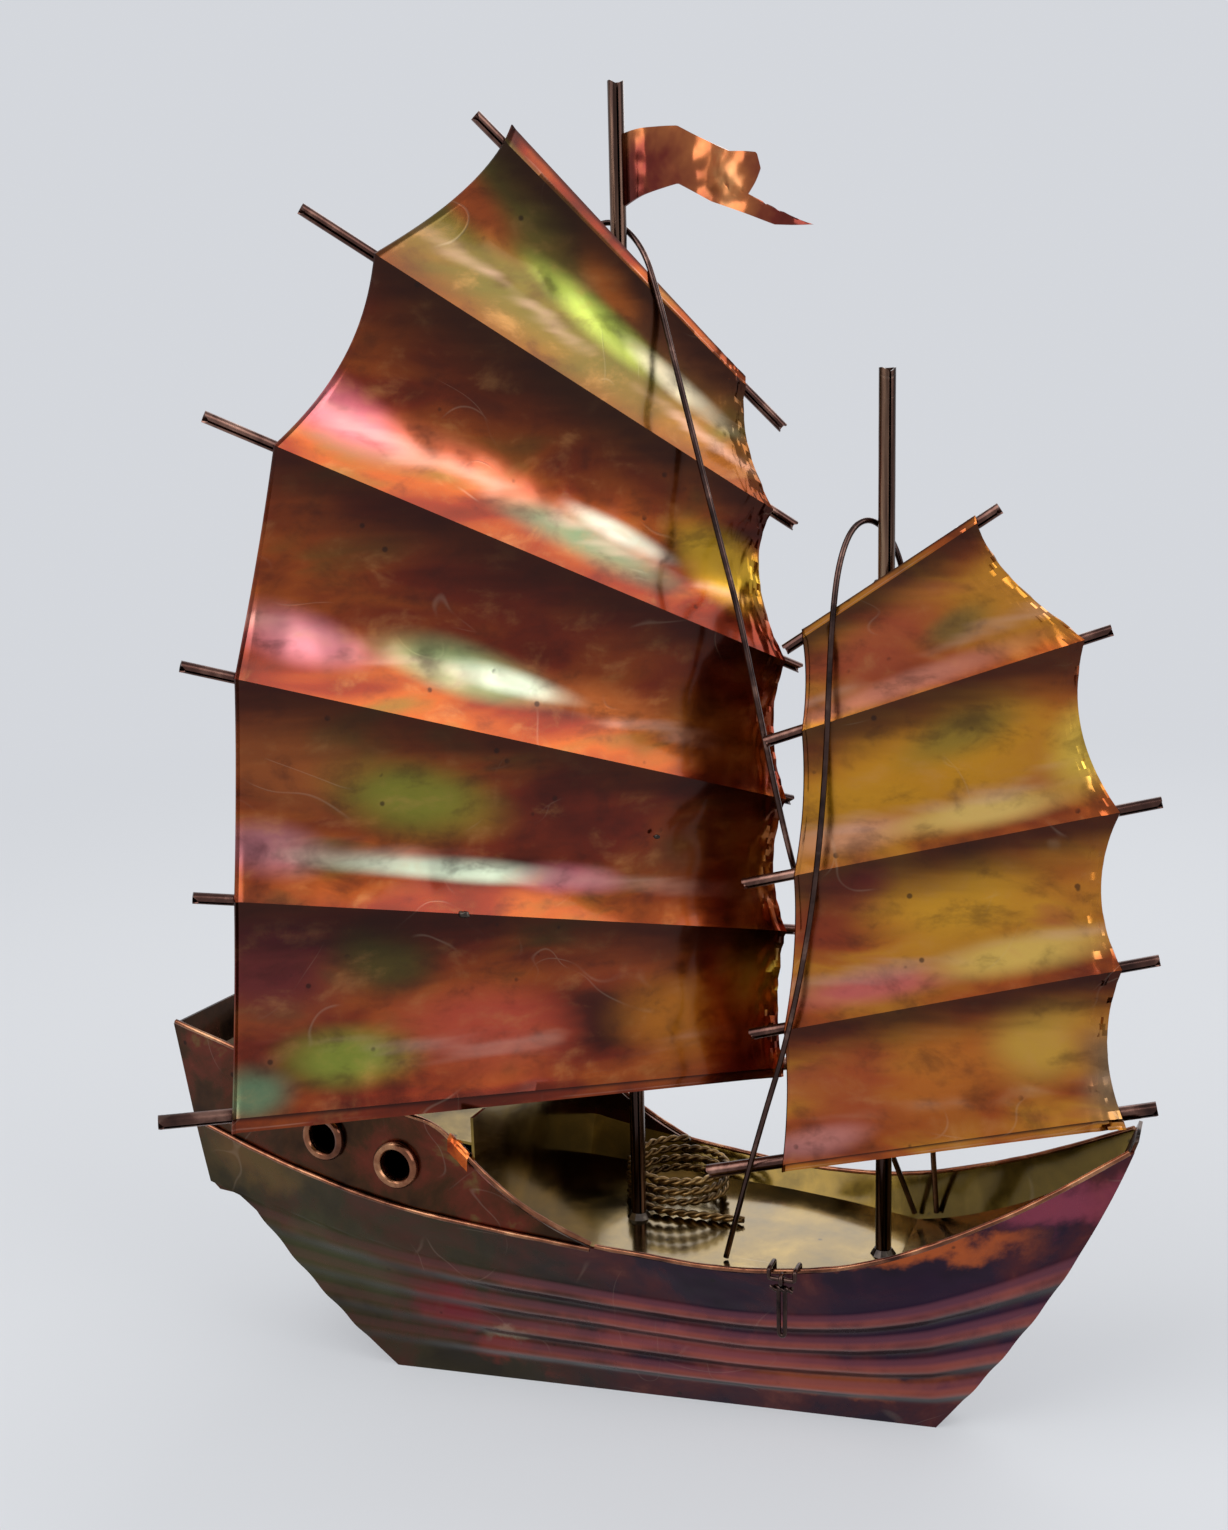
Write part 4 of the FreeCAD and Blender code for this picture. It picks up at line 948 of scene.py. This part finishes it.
def sail_surface(rig, strips, rows):
    """Functions for a sail's grid: its point and its two maps at (s, t)."""
    def at(s, t):
        position = (1.0 - t) * len(rows)
        index = min(int(round(position)), len(rows))
        strip, local = row_place(rows, index, len(strips))
        upper, lower, d0, d1, aft_part, fore_part = strips[strip]
        ua, uf = (edge_u(rig[edge], rig[edge + "_cuts"], part[0], mix(part[1], part[2], local), inward)
                  for edge, part, inward in (("aft", aft_part, 1), ("fore", fore_part, -1)))
        u = mix(ua, uf, s)
        high, low = height_on(upper, u), height_on(lower, u)
        height = mix(high, low, local)
        depth = mix(d0, d1, local)
        if 0 < strip < len(strips) - 1:
            share = straight_value(rig["belly"], u)
            depth += 4 * share * (high - low) * local * (1 - local) * (1 + BELLY_LOW * (2 * local - 1))
            free = 4 * local * (1 - local)
            depth += free * (0.45 * ripple(u / 17, height / 12, seed=3) - 0.1)
            depth -= free * 0.12 * ripple(u / 6, height / 7, seed=4)
        depth -= crumple(rig, u, height, uf - u)
        curl = max(0.0, 1.0 - (u - ua) / HEM_REACH)
        depth -= HEM_DEPTH * curl * curl
        return u, depth, height, strip, local

    def place(s, t):
        u, depth, height, _, _ = at(s, t)
        return swung(rig, u, depth, height)

    def flat(s, t):
        u, _, height, _, _ = at(s, t)
        return u / MAP_UNIT, height / MAP_UNIT

    def bands(s, t):
        u, _, _, strip, local = at(s, t)
        return u / MAP_UNIT, strip + min(local, 0.999)

    return place, {"flat": flat, "bands": bands}


def row_place(rows, index, count):
    """Strip and share of it for a row counted from the head."""
    if index >= len(rows):
        return count - 1, 1.0
    return rows[index]


# Sizes and colours that the panel shows

def length_property(name, description, metres):
    return FloatProperty(name=name, description=description, default=metres, unit="LENGTH")


class JunkSizes(bpy.types.PropertyGroup):
    sheet: length_property("Hull sheet", "Thickness of the hull's sheet", 0.0006)
    sail_sheet: length_property("Sail sheet", "Thickness of the sails' sheet", 0.0004)
    mast_radius: length_property("Mast radius", "Outer radius of a mast tube", 0.00167)
    spar_radius: length_property("Spar radius", "Outer radius of a yard or batten", 0.00115)
    boom_radius: length_property("Boom radius", "Outer radius of a boom", 0.00145)
    stay_radius: length_property("Stay radius", "Radius of the stays' wire", 0.0006)
    rim_radius: length_property("Rim radius", "Radius of the rolled edge along the rails", 0.0005)


class JunkColours(bpy.types.PropertyGroup):
    floor: FloatVectorProperty(name="Floor", description="Colour of the floor under the ship",
                               default=(0.72, 0.73, 0.74), subtype="COLOR")
    backdrop: FloatVectorProperty(name="Backdrop", description="Colour seen behind the ship",
                                  default=(0.66, 0.68, 0.72), subtype="COLOR")


# Operators

def hull_side_place(flip):
    """A side's grid in millimetres, mirrored for port with its columns turned about."""
    def place(s, t):
        x, y, z = side_surface(1 - s if flip else s, t)
        return x, (-y if flip else y), z
    return place


class JUNK_OT_hull_sides(bpy.types.Operator):
    """Press both ribbed sides of the hull out of sheet"""
    bl_idname = "junk.hull_sides"
    bl_label = "Hull sides"

    def execute(self, context):
        columns, rows = SIDE_GRID
        for row in range(rows + 1):
            side_ends[row_key(row / rows)] = ends_at(row / rows)
        for side, flip in (("starboard", False), ("port", True)):
            maps = {"ribs": lambda s, t: (rib_side(t), rib_crest(t))}
            obj = shaped_grid("ribbed_side_" + side, columns, rows, hull_side_place(flip), maps)
            for finish in ("heated_hull", "golden_deck"):
                obj.data.materials.append(material_named(finish))
            thicken(obj, scene_sizes().sheet, inner_slot=1)
            finish_piece(obj, None, replaced=["hull_side_" + side], angle=40)
        return {"FINISHED"}


def wobbled(point, sign):
    """A place on a bead, a little off its line, on starboard for a sign of 1 and on port for -1."""
    x, y, z = point
    moved = Vector((x, y, z)) + Vector((0.0, ripple(x / 9, z / 9, seed=3),
                                        ripple(x / 7, z / 11, seed=4))) * BEAD_WOBBLE
    return Vector((moved.x, moved.y * sign, moved.z))


def spread(first, last, count):
    """Evenly spaced numbers from first to last."""
    return [mix(first, last, i / (count - 1)) for i in range(count)]


def porthole_loop(x, z, sign):
    """Centre line of the wire ring round a porthole, square to the flared panel."""
    along = (half_beam(x + 1) - half_beam(x - 1)) / 2
    normal = Vector((-along, -1, -QUARTER_FLARE / (OVERHEAD - side_height(x)))).normalized()
    start = normal.cross(Vector((0, 0, 1))).normalized()
    third = normal.cross(start)
    centre = Vector((x, quarter_face_y(x, z) - RING_LIFT, z))
    loop = []
    for i in range(RING_POINTS):
        turn = 2 * math.pi * i / RING_POINTS
        size = RING_RADIUS * (1 + 0.025 * ripple(math.cos(turn), math.sin(turn), x, seed=6))
        point = centre + (start * math.cos(turn) + third * math.sin(turn)) * size
        loop.append(Vector((point.x, point.y * sign, point.z)))
    return loop if sign > 0 else loop[::-1]


class JUNK_OT_rims(bpy.types.Operator):
    """Lay the rolled rims, the wales and the porthole rings along the hull's edges"""
    bl_idname = "junk.rims"
    bl_label = "Rims, wales and rings"

    def execute(self, context):
        sheet = scene_sizes().sheet / MM
        radius = scene_sizes().rim_radius / MM
        finish = "rolled_rim"
        rail = [(x, -half_beam(x) + sheet / 2, rail_height(x) - radius)
                for x in spread(QUARTER_FOOT_X + RAIL_LAP, RAIL_FORE_END, 90)]
        wale = [(x, -half_beam(x) - radius, side_height(x))
                for x in spread(WALE_AFT_END, QUARTER_FOOT_X, 80)]
        top = [(x, quarter_face_y(x, z) + sheet / 2, z + radius)
               for x, z, _ in route_points([(x, z, 0) for x, z in QUARTER_EDGE], 10)]
        beads = (("rolled_rail", "hull_rim", rail, 1.05), ("wale_wire", "wale", wale, 1.0),
                 ("rolled_quarter", "quarter_rim", top, 1.1))
        for side, sign in (("starboard", 1), ("port", -1)):
            for name, node, points, size in beads:
                def thick(share, size=size):
                    return radius * size * (1 + 0.12 * ripple(share * 40, 0.5, seed=4))
                line = [wobbled(point, sign) for point in points]
                obj = piece_from(name + "_" + side, [swept(line, thick, BEAD_SIDES)])
                finish_piece(obj, finish, replaced=[node + "_" + side])
            rings = [swept(porthole_loop(x, z, sign), RING_WIRE, BEAD_SIDES, closed=True)
                     for x, z in PORTHOLES]
            finish_piece(piece_from("porthole_wire_" + side, rings), finish,
                         replaced=["porthole_rings_" + side])
        return {"FINISHED"}


def rolled_tube(name, a, b, radius, seam, make, seed):
    """Strip of sheet rolled to a tube from a to b, its open seam towards seam."""
    wall, gap, notch = make
    a, b = Vector(a), Vector(b)
    axis = (b - a).normalized()
    length = (b - a).length
    first = (seam - axis * seam.dot(axis)).normalized()
    second = axis.cross(first)
    columns, rows = TUBE_COLUMNS, max(12, int(length / TUBE_ROW))

    def place(s, t):
        turn = gap / 2 + s * (2 * math.pi - gap)
        from_seam = min(turn, 2 * math.pi - turn)
        back = notch * max(0.0, 1 - from_seam)
        along = mix(back, length - back, t)
        size = radius * (1 - TUBE_LAP * s) * (1 + TUBE_WAVE * ripple(along / 7, turn, seed=seed))
        size -= SEAM_SINK * radius * max(0.0, 1 - from_seam / SEAM_SINK_REACH)
        centre = a + axis * along
        return centre + (first * math.cos(turn) + second * math.sin(turn)) * size

    obj = shaped_grid(name, columns, rows, place)
    thicken(obj, wall * MM)
    return obj


class JUNK_OT_masts(bpy.types.Operator):
    """Roll both masts out of sheet, with the open seam towards the viewer"""
    bl_idname = "junk.masts"
    bl_label = "Masts"

    def execute(self, context):
        radius = scene_sizes().mast_radius / MM
        for name, rig in (("main_mast", MAIN_RIG), ("fore_mast", FORE_RIG)):
            x = rig["mast_x"]
            obj = rolled_tube("rolled_" + name, (x, 0, DECK_TOP), (x, 0, rig["top"]), radius,
                              Vector(MAST_SEAM_TOWARDS), MAST_MAKE, x)
            finish_piece(obj, "mast_tube", replaced=[name])
        return {"FINISHED"}


class JUNK_OT_spars(bpy.types.Operator):
    """Roll the yards, battens and booms, each with its seam low on the viewer's side"""
    bl_idname = "junk.spars"
    bl_label = "Spars"

    def execute(self, context):
        mast = scene_sizes().mast_radius / MM
        for rig in (MAIN_RIG, FORE_RIG):
            for number, (name, aft, fore) in enumerate(rig["spars"]):
                radius = spar_radius(name)
                a, b = (swung(rig, u, -(mast + radius), h) for u, h in (aft, fore))
                seam = swung(rig, 0, -1, 0) - swung(rig, 0, 0, 0) + Vector((0, 0, -SPAR_SEAM_DOWN))
                obj = rolled_tube("rolled_" + name, a, b, radius, seam, SPAR_MAKE,
                                  number + rig["swing"])
                finish_piece(obj, "dark_tube", replaced=[name])
        return {"FINISHED"}


class JUNK_OT_sails(bpy.types.Operator):
    """Crease and belly both sails between their spars"""
    bl_idname = "junk.sails"
    bl_label = "Sails"

    def execute(self, context):
        for name, rig in (("main_sail", MAIN_RIG), ("fore_sail", FORE_RIG)):
            strips = sail_strips(rig)
            rows = []
            for strip in range(len(strips)):
                steps = PANEL_ROWS if 0 < strip < len(strips) - 1 else EDGE_ROWS
                rows += [(strip, i / steps) for i in range(steps)]
            place, maps = sail_surface(rig, strips, rows)
            obj = shaped_grid("creased_" + name, rig["across"], len(rows), place, maps)
            thicken(obj, scene_sizes().sail_sheet)
            finish_piece(obj, "heated_" + name, replaced=[name], angle=17)
        return {"FINISHED"}


class JUNK_OT_pennant(bpy.types.Operator):
    """Wave the swallow-tailed pennant"""
    bl_idname = "junk.pennant"
    bl_label = "Pennant"

    def execute(self, context):
        def place(s, t):
            tail = 1.0 - PENNANT_NOTCH * (1 - abs(2 * t - 1)) * smooth_step(0.4, 1.0, s)
            top_x, low_x = (mix(edge[0][0], edge[-1][0], s) for edge in (PENNANT_TOP, PENNANT_LOW))
            x = PENNANT_HOIST + (mix(low_x, top_x, t) - PENNANT_HOIST) * tail
            z = mix(straight_value(PENNANT_LOW, low_x), straight_value(PENNANT_TOP, top_x), t)
            share = (x - PENNANT_HOIST) / PENNANT_FLY
            y = -PENNANT_WAVE * math.sin(4 * math.pi * share) * (1 - 0.5 * share)
            y += 0.25 * ripple(x / 3, z / 3, seed=8) * smooth_step(0, 0.2, s)
            return x, y, z
        obj = shaped_grid("waved_pennant", 90, 26, place)
        thicken(obj, PENNANT_SHEET, offset=0.0)
        finish_piece(obj, "heated_pennant", replaced=["pennant"], angle=35)
        return {"FINISHED"}


class JUNK_OT_stays(bpy.types.Operator):
    """Bend the wire stay of each mast"""
    bl_idname = "junk.stays"
    bl_label = "Stays"

    def execute(self, context):
        radius = scene_sizes().stay_radius / MM
        for name, points in (("main_stay", MAIN_STAY), ("fore_stay", FORE_STAY)):
            obj = piece_from("bent_" + name, [swept(route_points(points, 7), radius, 14)])
            finish_piece(obj, "dark_wire", replaced=[name], angle=40)
        return {"FINISHED"}


def coil_controls():
    """Control points of the rope: its free tail on the deck, then the turns."""
    points = []
    for step in range(int(POINTS_A_TURN * COIL_TURNS) + 1):
        turn = step / POINTS_A_TURN
        angle = math.radians(COIL_START - 360 * turn)
        radius = COIL_RADIUS * COIL_EASE + COIL_UNEVEN * math.sin(2.3 * turn * math.pi)
        points.append(Vector((COIL_CENTRE[0] + radius * math.cos(angle),
                              COIL_CENTRE[1] + radius * math.sin(angle),
                              DECK_TOP + COIL_WIRE + COIL_DECK_GAP + COIL_PITCH * turn)))
    angle = math.radians(COIL_START)
    back = Vector((-math.sin(angle), math.cos(angle), 0))
    tail = [points[0] + back * length for length in (COIL_TAIL, 0.66 * COIL_TAIL, 0.33 * COIL_TAIL)]
    return tail + points


class JUNK_OT_rope_coil(bpy.types.Operator):
    """Twist the two strands of the rope and wind them on the deck"""
    bl_idname = "junk.rope_coil"
    bl_label = "Rope coil"

    def execute(self, context):
        line = route_points(coil_controls(), 8)
        parts = []
        for side in (0.0, math.pi):
            points = []
            travelled = 0.0
            for i, point in enumerate(line):
                tangent = (line[min(i + 1, len(line) - 1)] - line[max(i - 1, 0)]).normalized()
                if i:
                    travelled += (point - line[i - 1]).length
                level = tangent.cross(Vector((0, 0, 1))).normalized()
                rise = level.cross(tangent)
                turn = side + 2 * math.pi * travelled / STRAND_LAY
                offset = level * math.cos(turn) + rise * math.sin(turn)
                points.append(point + offset * (COIL_WIRE - STRAND))
            parts.append(swept(points, STRAND))
        obj = piece_from("twisted_rope", parts)
        finish_piece(obj, "twisted_brass", replaced=["rope_coil"], angle=60)
        return {"FINISHED"}


class JUNK_OT_anchor(bpy.types.Operator):
    """Bend the anchor and the staple that it hangs from"""
    bl_idname = "junk.anchor"
    bl_label = "Anchor and hanger"

    def execute(self, context):
        wire = ANCHOR_WIRE
        inside, over, low = RAIL_Y + HANGER_INSIDE, RAIL_Z + HANGER_ABOVE, RAIL_Z - HANGER_BELOW
        half = HANGER_HALF
        arm = [(half, inside, low), (half, inside, over - 0.8), (half, inside, over),
               (half, mix(inside, PIN.y, 0.5), over), (half, PIN.y, over), (half, PIN.y, over - 0.8),
               (half, PIN.y, PIN.z), (half - 1.0, PIN.y, PIN.z)]
        staple = [(PIN.x - x, y, z) for x, y, z in arm]
        staple += [(PIN.x + x, y, z) for x, y, z in reversed(arm)]
        hanger = piece_from("bent_hanger", [swept(route_points(staple, 6), wire, 12)])
        finish_piece(hanger, "dark_wire", replaced=["anchor_hanger"], angle=50)

        eye_radius = 2 * wire + EYE_PLAY
        eye = [PIN + Vector((0, math.cos(a), math.sin(a))) * eye_radius
               for a in (2 * math.pi * i / 32 for i in range(32))]
        parts = [swept(eye, wire * 0.97, 12, closed=True)]
        knot = PIN.z - TWIST_DROP
        for side in (0.0, math.pi):
            twist = [(PIN.x + x, PIN.y + TWIST_WIRE * math.cos(1.9 * x + side),
                      knot + TWIST_WIRE * math.sin(1.9 * x + side))
                     for x in spread(-TWIST_HALF, TWIST_HALF, 40)]
            parts.append(swept(twist, TWIST_WIRE))
        foot = PIN.z - ANCHOR_DROP
        legs = [(-0.65, knot + 0.3), (-0.66, knot - 3.0), (-0.62, foot + 1.5), (-0.62, foot),
                (-0.3, foot - 0.55), (0.3, foot - 0.55), (0.62, foot), (0.6, foot + 1.5),
                (0.68, knot - 3.0), (0.65, knot + 0.3)]
        shank = route_points([(PIN.x + x, PIN.y, z) for x, z in legs], 8)
        parts.append(swept(shank, wire, 12))
        obj = piece_from("bent_anchor", parts)
        finish_piece(obj, "dark_wire", body="anchor", replaced=["anchor"],
                     angle=50)
        return {"FINISHED"}


class JUNK_OT_tab(bpy.types.Operator):
    """Fold the bulkhead's loose tab over the starboard quarter rim"""
    bl_idname = "junk.tab"
    bl_label = "Folded tab"

    def execute(self, context):
        edge = sorted(QUARTER_EDGE)

        def place(s, t):
            x = mix(TAB_AFT, TAB_FORE, s)
            z = straight_value(edge, x)
            runs = len(TAB_LINE) - 1
            index = min(int(t * runs), runs - 1)
            inward, above = (mix(a, b, t * runs - index)
                             for a, b in zip(TAB_LINE[index], TAB_LINE[index + 1]))
            lift = 0.3 * abs(ripple(x / 1.1, t * runs, seed=9))
            return x, quarter_face_y(x, z) + inward, z + above + lift

        obj = shaped_grid("folded_tab", 20, 24, place)
        thicken(obj, TAB_SHEET, offset=0.0)
        finish_piece(obj, "orange_sheet", angle=25)
        return {"FINISHED"}


def blob(centre, size, seed):
    """Lump of set solder: a ball pulled out of shape by noise."""
    deselect()
    bpy.ops.mesh.primitive_ico_sphere_add(subdivisions=3, radius=1.0)
    ball = bpy.context.active_object
    vertices = []
    for vertex in ball.data.vertices:
        swell = 1 + 0.3 * ripple(*(vertex.co * 1.3), seed=seed)
        swell += 0.12 * ripple(*(vertex.co * 3.1), seed=seed + 1)
        pulled = Vector([a * b for a, b in zip(vertex.co, size)])
        vertices.append((Vector(centre) + pulled * swell) * MM)
    faces = [tuple(face.vertices) for face in ball.data.polygons]
    mesh = ball.data
    bpy.data.objects.remove(ball)
    bpy.data.meshes.remove(mesh)
    return vertices, faces


class JUNK_OT_solder(bpy.types.Operator):
    """Drop the solder where spars, masts and wires meet"""
    bl_idname = "junk.solder"
    bl_label = "Solder"

    def execute(self, context):
        parts = []
        seed = 0
        for rig in (MAIN_RIG, FORE_RIG):
            for name, aft, fore in rig["spars"]:
                seed += 1
                rise = Vector((0, 0, spar_radius(name) * 0.9))
                for u, depth, size in SOLDER_AT_MAST:
                    centre = swung(rig, u, depth, height_on((aft, fore), u)) + rise
                    parts.append(blob(centre, (size, size, size * 0.8), seed))
        for u, height, size in SOLDER_ON_SAIL:
            seed += 1
            parts.append(blob(swung(MAIN_RIG, u, SAIL_FRONT, height),
                              (size * 1.3, size * 0.5, size * 0.8), seed))
        obj = piece_from("solder_drops", parts)
        finish_piece(obj, "grey_solder", angle=60)
        return {"FINISHED"}


class JUNK_OT_plates(bpy.types.Operator):
    """Give the plates, decks, panels and collars their metal"""
    bl_idname = "junk.plates"
    bl_label = "Plates and decks"

    def execute(self, context):
        finishes = {"golden_deck": ["main_deck", "poop_bulkhead", "poop_deck"],
                    "heated_plate": ["bottom_plate", "bow_plate", "stern_plate",
                                     "quarter_panel_starboard", "quarter_panel_port"],
                    "grey_solder": ["main_mast_collar", "fore_mast_collar"]}
        for finish, names in finishes.items():
            for name in names:
                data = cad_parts[name].data
                data.materials.clear()
                data.materials.append(material_named(finish))
        return {"FINISHED"}


# Stage

CAMERA_PLACE = (0.1218, -0.3103, 0.1894)
CAMERA_YAW = 22.0
CAMERA_DOWN = 9.2
CAMERA_ROLL = -1.3
CAMERA_FOCAL_PIXELS = 1602.0
PHOTO_LONG_SIDE = 1530.0
ROOM_STRENGTH = 0.7
FLOOR_SIZE = 40.0
SENSOR = 36.0
# Each lamp's place, what it points at, its two sides in metres and its watts
LAMPS = {
    "key_light": ((-0.6, -0.8, 0.95), (0, 0, 0.13), (1.1, 1.1), 11.0),
    "side_light": ((0.95, -0.35, 0.7), (0, 0, 0.13), (0.7, 0.9), 5.0),
    "back_light": ((0.1, 0.95, 0.8), (0, 0, 0.15), (1.2, 0.7), 5.0),
}


def camera_matrix():
    """The view that the photograph has, from its yaw, tilt and roll."""
    yaw, down, roll = (math.radians(v) for v in (CAMERA_YAW, CAMERA_DOWN, CAMERA_ROLL))
    forward = Vector((-math.sin(yaw) * math.cos(down), math.cos(yaw) * math.cos(down),
                      -math.sin(down)))
    right = Vector((math.cos(yaw), math.sin(yaw), 0))
    up = right.cross(forward)
    turned_right = right * math.cos(roll) + up * math.sin(roll)
    turned_up = up * math.cos(roll) - right * math.sin(roll)
    columns = Matrix((turned_right, turned_up, -forward)).transposed().to_4x4()
    columns.translation = Vector(CAMERA_PLACE)
    return columns


def area_light(name, place, target, size, power):
    data = bpy.data.lights.new(name, "AREA")
    data.shape = "RECTANGLE"
    data.size, data.size_y = size
    data.energy = power
    light = bpy.data.objects.new(name, data)
    light.location = place
    light.rotation_euler = (Vector(target) - Vector(place)).to_track_quat("-Z", "Y").to_euler()
    bpy.context.scene.collection.objects.link(light)


def seen_share(tree):
    """One where the camera or a mirror looks, nought for the light that falls on the ship."""
    path = put(tree, "ShaderNodeLightPath")
    seen = math_node(tree, "MAXIMUM", path.outputs["Is Camera Ray"], path.outputs["Is Glossy Ray"])
    return math_node(tree, "MAXIMUM", seen, path.outputs["Is Transmission Ray"])


def floor_material(colour, far_colour):
    """Pale floor that takes the ship's shadow and runs out into the backdrop's colour."""
    material, tree = new_material("pale_floor")
    distance = vector_node(tree, "LENGTH", object_position(tree))
    far = eased(tree, distance, 0.25, 1.1, 0.5, 1.0)
    share = math_node(tree, "MULTIPLY", seen_share(tree), far)
    diffuse = put(tree, "ShaderNodeBsdfDiffuse", {"Color": (*colour, 1.0)})
    glow = put(tree, "ShaderNodeEmission", {"Color": (*far_colour, 1.0), "Strength": 1.0})
    mixed = put(tree, "ShaderNodeMixShader", {0: share, 1: diffuse.outputs[0], 2: glow.outputs[0]})
    put(tree, "ShaderNodeOutputMaterial", {"Surface": mixed.outputs[0]})
    return material


def soft_room(colour, strength):
    """World that looks plain to the camera and in mirrors, and lights the ship more softly."""
    world = bpy.data.worlds.new("soft_room")
    world.use_nodes = True
    tree = world.node_tree
    tree.nodes.clear()
    dim, plain = (put(tree, "ShaderNodeBackground", {"Color": (*colour, 1.0), "Strength": level})
                  for level in (strength, 1.0))
    mixed = put(tree, "ShaderNodeMixShader", {0: seen_share(tree), 1: dim.outputs[0],
                                              2: plain.outputs[0]})
    put(tree, "ShaderNodeOutputWorld", {"Surface": mixed.outputs[0]})
    return world


class JUNK_OT_stage(bpy.types.Operator):
    """Set the pale floor, the soft lights and the camera"""
    bl_idname = "junk.stage"
    bl_label = "Stage"

    def execute(self, context):
        colours = context.scene.junk_colours
        deselect()
        bpy.ops.mesh.primitive_plane_add(size=FLOOR_SIZE, location=(0, 0, 0))
        floor = bpy.context.active_object
        floor.name = "pale_floor"
        floor.data.materials.append(floor_material(colours.floor, colours.backdrop))
        context.scene.world = soft_room(colours.backdrop, ROOM_STRENGTH)
        for name, settings in LAMPS.items():
            area_light(name, *settings)
        data = bpy.data.cameras.new("view")
        data.sensor_fit = "AUTO"
        data.sensor_width = SENSOR
        data.lens = CAMERA_FOCAL_PIXELS / PHOTO_LONG_SIDE * SENSOR
        camera = bpy.data.objects.new("view", data)
        camera.matrix_world = camera_matrix()
        context.scene.collection.objects.link(camera)
        context.scene.camera = camera
        context.scene.view_settings.view_transform = "Standard"
        return {"FINISHED"}


STEPS = [JUNK_OT_stage, JUNK_OT_rope_coil, JUNK_OT_hull_sides, JUNK_OT_rims, JUNK_OT_plates,
         JUNK_OT_masts, JUNK_OT_spars, JUNK_OT_sails, JUNK_OT_pennant, JUNK_OT_stays, JUNK_OT_anchor,
         JUNK_OT_tab, JUNK_OT_solder]


class JUNK_PT_panel(bpy.types.Panel):
    """Lists the ship's sizes, its colours and the steps that model it"""
    bl_label = "Copper junk"
    bl_idname = "JUNK_PT_panel"
    bl_space_type = "VIEW_3D"
    bl_region_type = "UI"
    bl_category = "Junk"

    def draw(self, context):
        layout = self.layout
        for group in (context.scene.junk_sizes, context.scene.junk_colours):
            for key in group.bl_rna.properties.keys():
                if key not in ("rna_type", "name"):
                    layout.prop(group, key)
        for step in STEPS:
            layout.operator(step.bl_idname)


CLASSES = [JunkSizes, JunkColours] + STEPS + [JUNK_PT_panel]


def register():
    for cls in CLASSES:
        bpy.utils.register_class(cls)
    bpy.types.Scene.junk_sizes = PointerProperty(type=JunkSizes)
    bpy.types.Scene.junk_colours = PointerProperty(type=JunkColours)


def unregister():
    del bpy.types.Scene.junk_sizes
    del bpy.types.Scene.junk_colours
    for cls in reversed(CLASSES):
        bpy.utils.unregister_class(cls)


def main():
    register()
    for step in STEPS:
        category, name = step.bl_idname.split(".")
        getattr(getattr(bpy.ops, category), name)()


if __name__ == "__main__":
    main()
